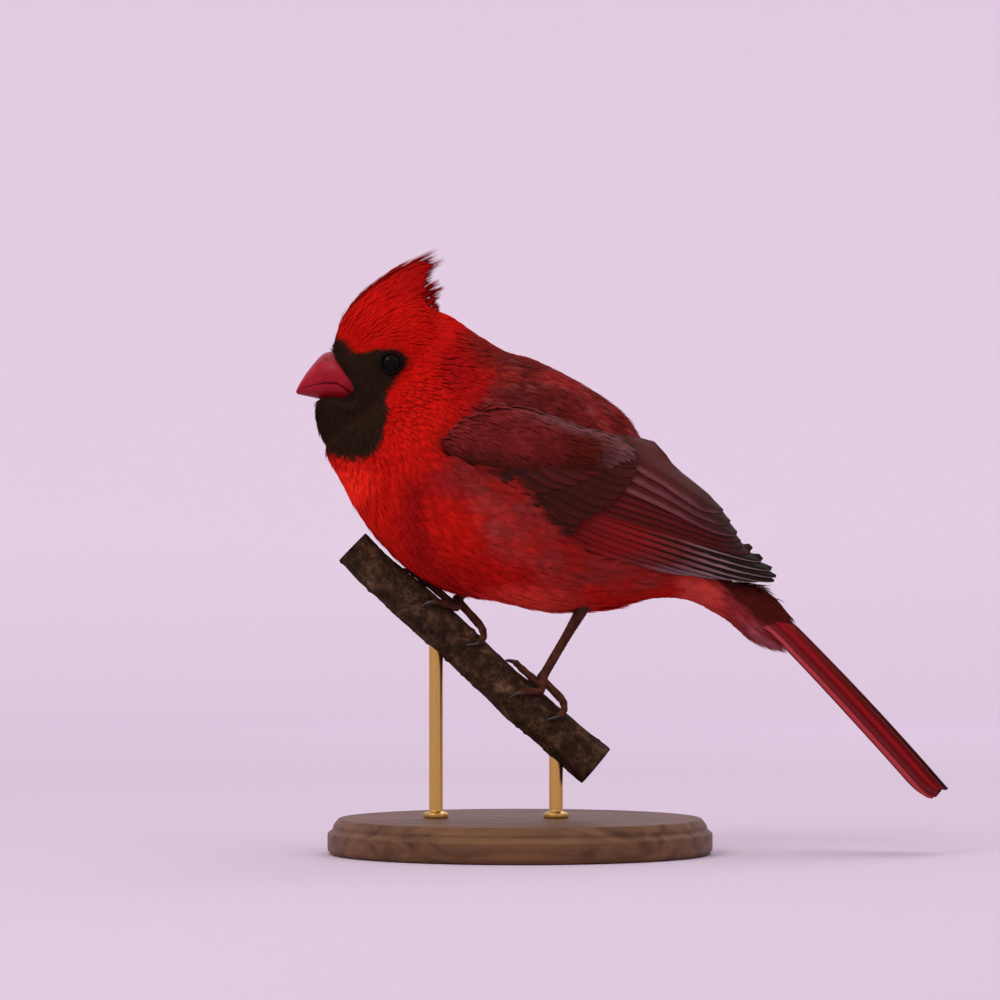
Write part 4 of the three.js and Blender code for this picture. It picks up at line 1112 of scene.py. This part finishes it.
def build_crest():
    rng = np.random.default_rng(5)
    points, faces, along, tint, tones = [], [], [], [], []
    for root, tip, bow in CREST_ROWS:
        start_point, end_point = at(*root), at(*tip)
        lie_way = end_point - start_point
        out = Vector((-lie_way.z, 0, lie_way.x)).normalized()
        beside = 4 if lie_way.length > 12 * MM else 3
        for place in range(-beside, beside + 1):
            lateral = place / beside
            share = 1 - 0.34 * abs(lateral) ** 1.5 + rng.normal(0, 0.03)
            shade = rng.random()
            for _ in range(10):
                fan = rng.normal(0, 1)
                sag = rng.normal(0, 0.4 * MM)
                reach = share * (1 - 0.14 * abs(fan) * rng.random())
                width = 0.22 * MM * rng.uniform(0.7, 1.2)
                begin = len(points)
                for u in (0.0, 0.3, 0.65, 1.0):
                    middle = start_point + lie_way * (u * reach)
                    droop = (0.5 + 2.6 * abs(lateral) ** 1.5) * MM
                    rise = bow * STEP * 4 * u * (1 - u) - droop * (1 - 0.3 * u)
                    middle = middle + out * (rise + sag * u)
                    side_reach = lateral * (4.4 * (1 - u) + 1.2 * u) * MM + fan * (0.22 + 0.22 * u) * MM
                    half = width * (1 - 0.55 * u)
                    centre = Vector((middle.x, side_reach, middle.z))
                    if u == 1.0:
                        points.append(centre)
                        along.append(1.0)
                    else:
                        points += [centre + Vector((0, -half, 0)), centre + Vector((0, half, 0)),
                                   centre + out * half]
                        along += [u] * 3
                    tones.append(np.clip(0.25 + 0.75 * u + rng.normal(0, 0.1), 0, 1))
                    tones += [tones[-1]] * (0 if u == 1.0 else 2)
                tint += [shade * 0.7 + 0.3 * rng.random()] * (len(points) - begin)
                faces += barb_faces(begin, 3)
    crest = face_outwards(mesh_object("crest_feathers", points, faces))
    store(crest.data, "along", "FLOAT", along)
    store(crest.data, "tint", "FLOAT", tint)
    tone = mix(hex_array("#b8120a"), hex_array("#7c0b08"), np.array(tones))
    store_plumage(crest.data, tone)
    corner = np.empty(len(crest.data.loops), int)
    crest.data.loops.foreach_get("vertex_index", corner)
    where = np.array(points)
    place = np.stack([0.05 + (where[:, 0] + 0.06) * 4, 0.85 + where[:, 1] * 4], 1)
    crest.data.uv_layers.new(name="OFBake").data.foreach_set("uv", place[corner].ravel())
    crest.data.materials.append(plumage)
    return dress(crest, "plumage_red")


crest = build_crest()
print("crest has", len(crest.data.polygons), "faces")

# %% [markdown]
# The bill is a deep cone of horn. Its two halves meet in a line that runs back from the tip and then
# turns down to the corner of the mouth. Each half is a loft that follows the same sections, pinched in
# towards that line, so a real groove parts them.

# %% Bill
MOUTH = np.array([
    (296, 392.2), (305, 388), (316, 385), (328, 383.5), (338, 384.5), (345, 388.5), (351, 395),
    (357, 403), (366, 414)])
NOSTRIL = (327, 361)


def mouth_row(column):
    return np.interp(column, MOUTH[:, 0], MOUTH[:, 1])


def build_bill(upper):
    rings = np.array(section_rings(BILL, 2.0, 72, 60))
    flat = rings.reshape(-1, 3)
    columns, rows = side_view(flat)
    edge = mouth_row(columns)
    gap = (0.22 if upper else -0.22) * ease(columns, 297.5, 306)
    beyond = rows - (edge - gap) if upper else (edge - gap) - rows
    moved = flat.copy()
    moved[:, 2] = np.where(beyond > 0, (FLOOR_ROW - (edge - gap)) * STEP, flat[:, 2])
    tuck = np.exp(-np.maximum(-beyond, 0) / 1.6)
    moved[:, 1] *= 1 - 0.10 * tuck
    if upper:
        from_nostril = np.hypot(columns - NOSTRIL[0], (rows - NOSTRIL[1]) * 1.25) * STEP
        moved[:, 1] *= 1 - 0.22 * np.exp(-(from_nostril / (0.75 * MM)) ** 2)
    points, faces = skin_over(moved.reshape(rings.shape))
    return face_outwards(mesh_object("bill_" + ("upper" if upper else "lower") + "_horn", points, faces))


def horn_material():
    material, tree, shader = new_material(
        "bill_keratin_horn", "#a01a28", roughness=0.34, specular_ior_level=0.14, subsurface_weight=0.08,
        subsurface_scale=0.002, subsurface_radius=(1.0, 0.3, 0.3))
    where = object_place(tree)
    mottle = cloud(tree, 170.0, where, detail=4.0, roughness=0.6)
    tone = ramp(tree, mottle, [(0.3, "#860a18"), (0.55, "#9a1022"), (0.8, "#aa2c3a")])
    height = add_node(tree, "ShaderNodeSeparateXYZ", {0: where}).outputs["Z"]
    low = map_range(tree, height, from_min=0.1355, from_max=0.1295)
    shaded = add_node(tree, "ShaderNodeMix", data_type="RGBA", inputs={"Factor": low})
    tree.links.new(tone, shaded.inputs[6])
    shaded.inputs[7].default_value = colour("#880816")
    # painted sheen: a greyish-mauve highlight along the top of the culmen
    ridge = map_range(tree, height, from_min=0.1395, from_max=0.1445, to_max=0.6)
    culmen_sheen = add_node(tree, "ShaderNodeMix", data_type="RGBA", inputs={"Factor": ridge})
    tree.links.new(shaded.outputs[2], culmen_sheen.inputs[6])
    culmen_sheen.inputs[7].default_value = colour("#8a5a68")
    tree.links.new(culmen_sheen.outputs[2], shader.inputs["Base Color"])
    bump(tree, shader, cloud(tree, 900.0, where, detail=2.0), 0.00008, 0.25)
    return material


horn = horn_material()
for upper, node in ((True, "bill_upper"), (False, "bill_lower")):
    half = build_bill(upper)
    half.data.materials.append(horn)
    dress(half, "bill_horn", node)
print("bill made")

# %% [markdown]
# The eye is a dark ball under a wet clear front, so it is very smooth. A ring of bare grey-black skin
# makes the lids. It hides the edge of the socket and throws the thin shadow that seats the eye.

# %% Eyes and lids
eye_depth = float(half_width_at(HEAD, HEAD_POWER, [EYE_SPOT[0]], [EYE_SPOT[1]])[0]) - EYE_RADIUS + EYE_PROUD


def ball(name, centre, radius, rings=28, segments=40):
    """A ball with its poles along Y."""
    angle = np.linspace(0.06, math.pi - 0.06, rings)
    turn = np.linspace(0, 2 * math.pi, segments, endpoint=False)
    loops = [[(centre.x + radius * math.sin(a) * math.cos(t), centre.y - radius * math.cos(a),
               centre.z + radius * math.sin(a) * math.sin(t)) for t in turn] for a in angle]
    return face_outwards(mesh_object(name, *skin_over(loops)))


def build_lids(side):
    centre = at(*EYE_SPOT, side * (eye_depth + EYE_RADIUS - EYE_PROUD - 0.05 * MM))
    rim_angles = np.linspace(0, 2 * math.pi, 14, endpoint=False)
    loops = []
    for turn in np.linspace(0, 2 * math.pi, 56, endpoint=False):
        around_x, around_z = math.cos(turn), math.sin(turn)
        middle = Vector((centre.x + 2.95 * MM * 1.06 * around_x, centre.y, centre.z + 2.80 * MM * around_z))
        thick = (0.40 + 0.04 * math.sin(9 * turn)) * MM
        loops.append([(middle.x + thick * math.cos(a) * around_x,
                       middle.y + side * thick * 0.9 * math.sin(a),
                       middle.z + thick * math.cos(a) * around_z) for a in rim_angles])
    loops = np.array(loops)
    count, sides, _ = loops.shape
    faces = [(i * sides + k, i * sides + (k + 1) % sides, (i + 1) % count * sides + (k + 1) % sides,
              (i + 1) % count * sides + k) for i in range(count) for k in range(sides)]
    return face_outwards(mesh_object("lids_" + ("left" if side == LEFT else "right"),
                                     loops.reshape(-1, 3), faces))


eye_material, _, _ = new_material("eye_wet_cornea", "#0a0504", roughness=0.08, specular_ior_level=0.06)
lid_material, lid_tree, lid_shader = new_material(
    "lid_bare_skin", "#120d0a", roughness=0.75, specular_ior_level=0.04)
bump(lid_tree, lid_shader, cloud(lid_tree, 1800.0), 0.0001, 0.5)
for side, word in ((LEFT, "left"), (RIGHT, "right")):
    eye = ball("eyeball_" + word, at(*EYE_SPOT, side * eye_depth), EYE_RADIUS)
    eye.data.materials.append(eye_material)
    dress(eye, "eye", "eye_" + word)
    lids = build_lids(side)
    lids.data.materials.append(lid_material)
    dress(lids, "leg_skin")
print("eyes and lids made")

# %% [markdown]
# The perch is a cut length of a living branch: smooth young bark with long low ridges, small warts where
# it breathes, and a scar ring. Its surface comes from the branch's own rule, a middle line with a radius,
# with noise for the bark, and the two ends are sawn flat.

# %% Perch
PERCH = np.array([
    [352, 547, 5.6], [384, 578, 5.9], [423, 612, 6.3], [462, 647, 6.2], [490, 674, 6.1], [516, 698, 6.3],
    [545, 723, 6.4], [572, 746, 6.5], [596, 766, 6.7]])


def perch_frame(station):
    column, row, radius = blend(PERCH, [station])[0]
    ahead = blend(PERCH, [station + 0.05])[0]
    along = (at(ahead[0], ahead[1]) - at(column, row)).normalized()
    return at(column, row), Vector((-along.z, 0, along.x)), along, radius * MM


def perch_point(station, angle, height):
    middle, up, _, radius = perch_frame(station)
    reach = radius + height
    return middle + up * (math.cos(angle) * reach) + Vector((0, -math.sin(angle) * reach, 0))


def bark_height(point, station, angle):
    stretched = Vector((station * 1.6, math.cos(angle) * 1.4, math.sin(angle) * 1.4))
    ridges = abs(noise.noise(Vector((station * 1.4, math.cos(angle) * 4.2, math.sin(angle) * 4.2))))
    grain = noise.noise(point / (1.1 * MM)) * 0.10
    warts = max(0.0, noise.noise(point / (2.1 * MM) + Vector((7, 0, 3))) - 0.42) * 1.1
    ring = 0.35 * math.exp(-((station - 2.95 - 0.05 * math.sin(angle)) / 0.045) ** 2)
    swell = noise.noise(stretched) * 0.28
    return (-0.34 + 0.22 * ridges + grain + warts + ring + swell) * MM


def build_perch():
    rings = []
    for station in np.linspace(0, len(PERCH) - 1, 210):
        ring = []
        for angle in np.linspace(0, 2 * math.pi, 84, endpoint=False):
            plain = perch_point(station, angle, 0.0)
            ring.append(perch_point(station, angle, bark_height(plain, station, angle)))
        rings.append(ring)
    rim = [np.array(rings[0]), np.array(rings[-1])]
    inner = [0.86, 0.5]
    first = [rim[0].mean(0) + (rim[0] - rim[0].mean(0)) * s for s in reversed(inner)]
    last = [rim[1].mean(0) + (rim[1] - rim[1].mean(0)) * s for s in inner]
    points, faces = skin_over([*first, *rings, *last])
    return face_outwards(mesh_object("perch_bark", points, faces))


def bark_material():
    material, tree, shader = new_material(
        "bark_young_living", "#3e2e24", roughness=0.9, specular_ior_level=0.08)
    blotches = cloud(tree, 200.0, detail=9.0, roughness=0.8)
    colour_by(tree, shader, blotches,
              [(0.36, "#170e08"), (0.5, "#38271a"), (0.6, "#5c4230"), (0.74, "#857060")])
    bump(tree, shader, cloud(tree, 900.0, detail=5.0, roughness=0.7), 0.0009, 0.8)
    return material


perch = build_perch()
perch.data.materials.append(bark_material())
dress(perch, "bark", "perch")
print("perch has", len(perch.data.polygons), "faces")

# %% Sawn ends of the perch
sawn, sawn_tree, sawn_shader = new_material("wood_sawn_end_grain", "#b39670", roughness=0.8)
perch.data.materials.append(sawn)


def mark_ends():
    for station, sign in ((0, -1), (len(PERCH) - 1, 1)):
        _, _, along, _ = perch_frame(station if station == 0 else station - 0.06)
        end_centre = perch_frame(station)[0]
        for face in perch.data.polygons:
            close = (face.center - end_centre).length < 6.6 * MM
            if close and face.normal.dot(along) * sign > 0.8:
                face.material_index = 1


mark_ends()
sawn_grain = cloud(sawn_tree, 600.0, detail=3.0)
colour_by(sawn_tree, sawn_shader, sawn_grain, [(0.35, "#8d6f4c"), (0.65, "#c4a67e")])

# %% [markdown]
# A songbird's leg below the feathers is a thin bone in scaly skin. Scutes overlap down its front and along
# each toe, and pads swell between the joints. The legs are tubes along the CAD legs' own lines, with
# the scutes as small steps in the radius, and the claws are curved horn.

# %% Legs, toes and claws
LEG_PLANS = {
    "left": dict(hip=at(588, 598, -9.5 * MM), joint=at(541.5, 678.5, -2.6 * MM), station=5.55, lean=0.15),
    "right": dict(hip=at(482, 574, 8.5 * MM), joint=at(457, 600, 2.4 * MM), station=2.6, lean=-0.2),
}
HALLUX = [(0.3, 0.1, 2.0), (0.48, 0.3, 1.7), (0.60, 0.62, 1.3), (0.58, 1.0, 0.75), (0.42, 1.38, 0.15)]
MIDDLE_TOE = [(-0.3, 0, 1.4), (-0.65, -0.05, 1.15), (-1.0, -0.15, 1.1), (-1.28, -0.3, 1.2),
              (-1.5, -0.45, 0.05)]
NEAR_TOE = [(-0.2, 0.45, 1.3), (-0.42, 0.85, 1.1), (-0.6, 1.2, 1.2), (-0.7, 1.62, 0.1)]
FAR_TOE = [(along - 0.1, -angle * 0.95, height) for along, angle, height in NEAR_TOE]


def smooth_path(points, steps):
    table = np.array([tuple(p) for p in points])
    return [Vector(p) for p in blend(table, np.linspace(0, len(table) - 1, steps))]


def tube_rings(path, radii, sides=16):
    normal = Vector((0, 1, 0))
    rings = []
    for i, point in enumerate(path):
        along = (path[min(i + 1, len(path) - 1)] - path[max(i - 1, 0)]).normalized()
        normal = (normal - along * normal.dot(along)).normalized()
        other = along.cross(normal)
        rings.append([point + normal * (radii[i] * math.cos(a)) + other * (radii[i] * math.sin(a))
                      for a in np.linspace(0, 2 * math.pi, sides, endpoint=False)])
    return rings


def build_foot(word, plan):
    skin_parts, claw_parts = [], []
    shank = smooth_path([plan["hip"], plan["hip"].lerp(plan["joint"], 0.5), plan["joint"]], 70)
    span = (plan["hip"] - plan["joint"]).length
    radii = []
    for i in range(70):
        share = i / 69
        scute = (share * span / (1.35 * MM)) % 1.0
        swell = 0.25 * ease(share, 0.85, 1.0) - 0.62 * ease(share, 0, 0.55)
        radii.append((1.92 + swell + 0.07 * (1 - scute)) * MM)
    skin_parts.append(tube_rings(shank, radii))
    for path, lean in ((HALLUX, 0.0), (MIDDLE_TOE, plan["lean"]), (NEAR_TOE, plan["lean"]),
                       (FAR_TOE, plan["lean"])):
        corners = [plan["joint"]] + [perch_point(plan["station"] + s, a + lean, h * MM) for s, a, h in path]
        full = smooth_path(corners, 80)
        cut = int(80 * (len(corners) - 2.15) / (len(corners) - 1))
        toe = full[:cut + 1]
        radii = []
        for i in range(len(toe)):
            share = i / cut
            pad = 0.12 * math.cos(share * (len(corners) - 2) * 2 * math.pi)
            scute = (share * 12) % 1.0
            radii.append((1.22 - 0.34 * share + pad * 0.6 + 0.06 * (1 - scute)) * MM)
        skin_parts.append(tube_rings(toe, radii))
        claw = full[cut - 3:]
        claw_parts.append(tube_rings(claw, [(0.80 * (1 - i / (len(claw) - 1)) ** 0.6 + 0.05) * MM
                                            for i in range(len(claw))], 12))
    pieces = []
    for kind, parts in (("scutes", skin_parts), ("claws", claw_parts)):
        points, faces, shift = [], [], 0
        for rings in parts:
            p, f = skin_over([[tuple(q) for q in ring] for ring in rings])
            points.append(p)
            faces += [tuple(i + shift for i in face) for face in f]
            shift += len(p)
        pieces.append(face_outwards(mesh_object(f"leg_{kind}_{word}", np.concatenate(points), faces)))
    return pieces


leg_material, leg_tree, leg_shader = new_material(
    "leg_scaly_skin", "#4e2e22", roughness=0.6, specular_ior_level=0.06)
leg_mottle = cloud(leg_tree, 380.0, detail=4.0)
colour_by(leg_tree, leg_shader, leg_mottle, [(0.3, "#311a12"), (0.6, "#542e21"), (0.85, "#6b3f2f")])
bump(leg_tree, leg_shader, leg_mottle, 0.0002, 0.5)
claw_material, claw_tree, claw_shader = new_material("claw_dark_horn", "#1e1613", roughness=0.3)
colour_by(claw_tree, claw_shader, cloud(claw_tree, 700.0), [(0.3, "#17110f"), (0.8, "#33261f")])
for word, plan in LEG_PLANS.items():
    scutes, claws = build_foot(word, plan)
    scutes.data.materials.append(leg_material)
    claws.data.materials.append(claw_material)
    dress(scutes, "leg_skin", "leg_" + word, "foot_" + word)
    dress(claws, "leg_skin")
print("legs made")

# %% [markdown]
# The stand is plain: a turned disc of walnut, sanded and oiled, with a soft bead round its top, and two
# drawn brass rods with a collar where each enters the wood.

# %% Stand


def turned(name, profile, centre=(0.0, 0.0), segments=128):
    """A solid turned round a vertical axis, from a profile of radius and height."""
    turn = np.linspace(0, 2 * math.pi, segments, endpoint=False)
    rings = [[(centre[0] + r * math.cos(a), centre[1] + r * math.sin(a), z) for a in turn]
             for r, z in profile]
    return face_outwards(mesh_object(name, *skin_over(rings)))


def rounded_profile(corners, radius, steps=5):
    """A profile with its inner corners rounded."""
    corners = [Vector((*c, 0)) for c in corners]
    out = [corners[0]]
    for a, b, c in zip(corners, corners[1:], corners[2:]):
        start, end = b + (a - b).normalized() * radius, b + (c - b).normalized() * radius
        for t in np.linspace(0, 1, steps):
            out.append(start * (1 - t) ** 2 + b * (2 * t * (1 - t)) + end * t**2)
    return [(p.x, p.y) for p in out + [corners[-1]]]


low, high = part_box("stand_base")
base_radius, base_top = high[0], high[2]
base_profile = rounded_profile([
    (0.5 * MM, 0.0), (base_radius - 0.8 * MM, 0.0), (base_radius, 1.2 * MM), (base_radius, 5.8 * MM),
    (base_radius - 1.6 * MM, 7.0 * MM), (base_radius - 1.6 * MM, 8.0 * MM),
    (base_radius - 3.2 * MM, base_top),
    (0.5 * MM, base_top)], 0.45 * MM)
base = turned("stand_base_turned", base_profile)


def walnut_material():
    material, tree, shader = new_material(
        "walnut_turned_oiled", "#5e4029", roughness=0.5, specular_ior_level=0.2)
    figure = cloud(tree, 1.6, object_place(tree, (14.0, 120.0, 120.0)), detail=5.0, distortion=0.6)
    colour_by(tree, shader, figure,
              [(0.25, "#3c2718"), (0.45, "#5c3e27"), (0.62, "#704d31"), (0.8, "#4b3220")])
    pores = cloud(tree, 1.0, object_place(tree, (60.0, 1400.0, 1400.0)), detail=2.0)
    bump(tree, shader, pores, 0.0002, 0.3)
    return material


base.data.materials.append(walnut_material())
dress(base, "base_wood", "stand_base")

brass_material, brass_tree, brass_shader = new_material(
    "brass_drawn_satin", "#c9a35a", metallic=1.0, roughness=0.3)
drawn_lines = cloud(brass_tree, 1.0, object_place(brass_tree, (2200.0, 2200.0, 40.0)), detail=2.0)
bump(brass_tree, brass_shader, drawn_lines, 0.00004, 0.3)
for name in ("stand_rod_front", "stand_rod_rear"):
    low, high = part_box(name)
    centre, radius = ((low[0] + high[0]) / 2, (low[1] + high[1]) / 2), (high[0] - low[0]) / 2
    profile = rounded_profile([
        (0.2 * MM, low[2]), (radius, low[2]), (radius, base_top + 0.05 * MM),
        (radius + 1.6 * MM, base_top + 0.05 * MM),
        (radius + 1.6 * MM, base_top + 1.4 * MM), (radius, base_top + 2.0 * MM), (radius, high[2]),
        (0.2 * MM, high[2])], 0.25 * MM, 4)
    rod = turned(name + "_drawn", profile, centre, 48)
    rod.data.materials.append(brass_material)
    dress(rod, "rod_brass", name)
print("stand made")

# %% [markdown]
# A pale floor turns up into a round wall, open at the top, so every side has the same soft backdrop. A
# large soft key from above the bird's face, a broad top light and a weak fill stand in for a winter sky.

# %% Floor, lights and camera
FRAME_WIDTH = 1000 * STEP
CAMERA_DISTANCE = 1.7


def build_floor():
    profile = np.array([(0.002, 0.0), (0.9, 0.0), (1.6, 0.0), (2.1, 0.12), (2.4, 0.4), (2.5, 0.8),
                        (2.5, 1.2)])
    turn = np.linspace(0, 2 * math.pi, 96, endpoint=False)
    curve = blend(profile, np.linspace(0, len(profile) - 1, 48))
    points = [(r * math.cos(a), r * math.sin(a), z - 0.0002) for r, z in curve for a in turn]
    count = len(turn)
    faces = [(i * count + k, i * count + (k + 1) % count, (i + 1) * count + (k + 1) % count,
              (i + 1) * count + k)
             for i in range(len(curve) - 1) for k in range(count)]
    faces.append(tuple(range(count)))
    return mesh_object("studio_floor", points, faces)


floor = build_floor()
floor_material, floor_tree, floor_shader = new_material(
    "backdrop_paper_matte", "#e4d2e6", roughness=1.0, specular_ior_level=0.0)
# painted shade: the backdrop darkens towards the middle, where the lamps light the floor most, so the floor
# matches the wall
from_middle = add_node(floor_tree, "ShaderNodeVectorMath", {0: object_place(floor_tree)}, operation="LENGTH")
outwards = map_range(floor_tree, from_middle.outputs["Value"], from_min=0.5, from_max=2.0)
colour_by(floor_tree, floor_shader, outwards, [(0.0, "#cbbccd"), (0.45, "#dfcfe1"), (1.0, "#f4e6f5")])
floor.data.materials.append(floor_material)


def area_light(name, place, target, size, power, tone):
    lamp = bpy.data.lights.new(name, "AREA")
    lamp.size, lamp.energy, lamp.color = size, power, colour(tone)[:3]
    holder = bpy.data.objects.new(name, lamp)
    holder.location = place
    holder.rotation_euler = (Vector(target) - Vector(place)).to_track_quat("-Z", "Y").to_euler()
    bpy.context.collection.objects.link(holder)


centre = (0.0, 0.0, 0.1)
area_light("key", (-0.75, -0.85, 1.05), centre, 0.7, 6.6, "#fffaf4")
area_light("top", (0.15, 0.1, 1.25), centre, 0.9, 3.0, "#fdfaf8")
area_light("fill", (0.95, -0.75, 0.95), centre, 0.8, 1.4, "#fdf8f6")
area_light("back", (0.4, 0.9, 1.0), centre, 0.6, 2.0, "#faf4ff")

world = bpy.data.worlds.new("soft_room")
world.use_nodes = True
world.node_tree.nodes["Background"].inputs["Color"].default_value = colour("#f4f0f2")
world.node_tree.nodes["Background"].inputs["Strength"].default_value = 0.9
bpy.context.scene.world = world

camera_data = bpy.data.cameras.new("camera")
camera_data.sensor_width = 36.0
camera_data.lens = 36.0 * CAMERA_DISTANCE / FRAME_WIDTH
camera_data.clip_end = 20.0
camera = bpy.data.objects.new("camera", camera_data)
camera.location = at(500, 500, -CAMERA_DISTANCE)
camera.rotation_euler = (math.pi / 2, 0.0, 0.0)
bpy.context.collection.objects.link(camera)
bpy.context.scene.camera = camera
bpy.context.scene.view_settings.view_transform = "Standard"
print("camera lens", round(camera_data.lens, 1), "mm")

# %% Remove the helpers and finish
for fan in fans.values():
    bpy.data.objects.remove(fan)
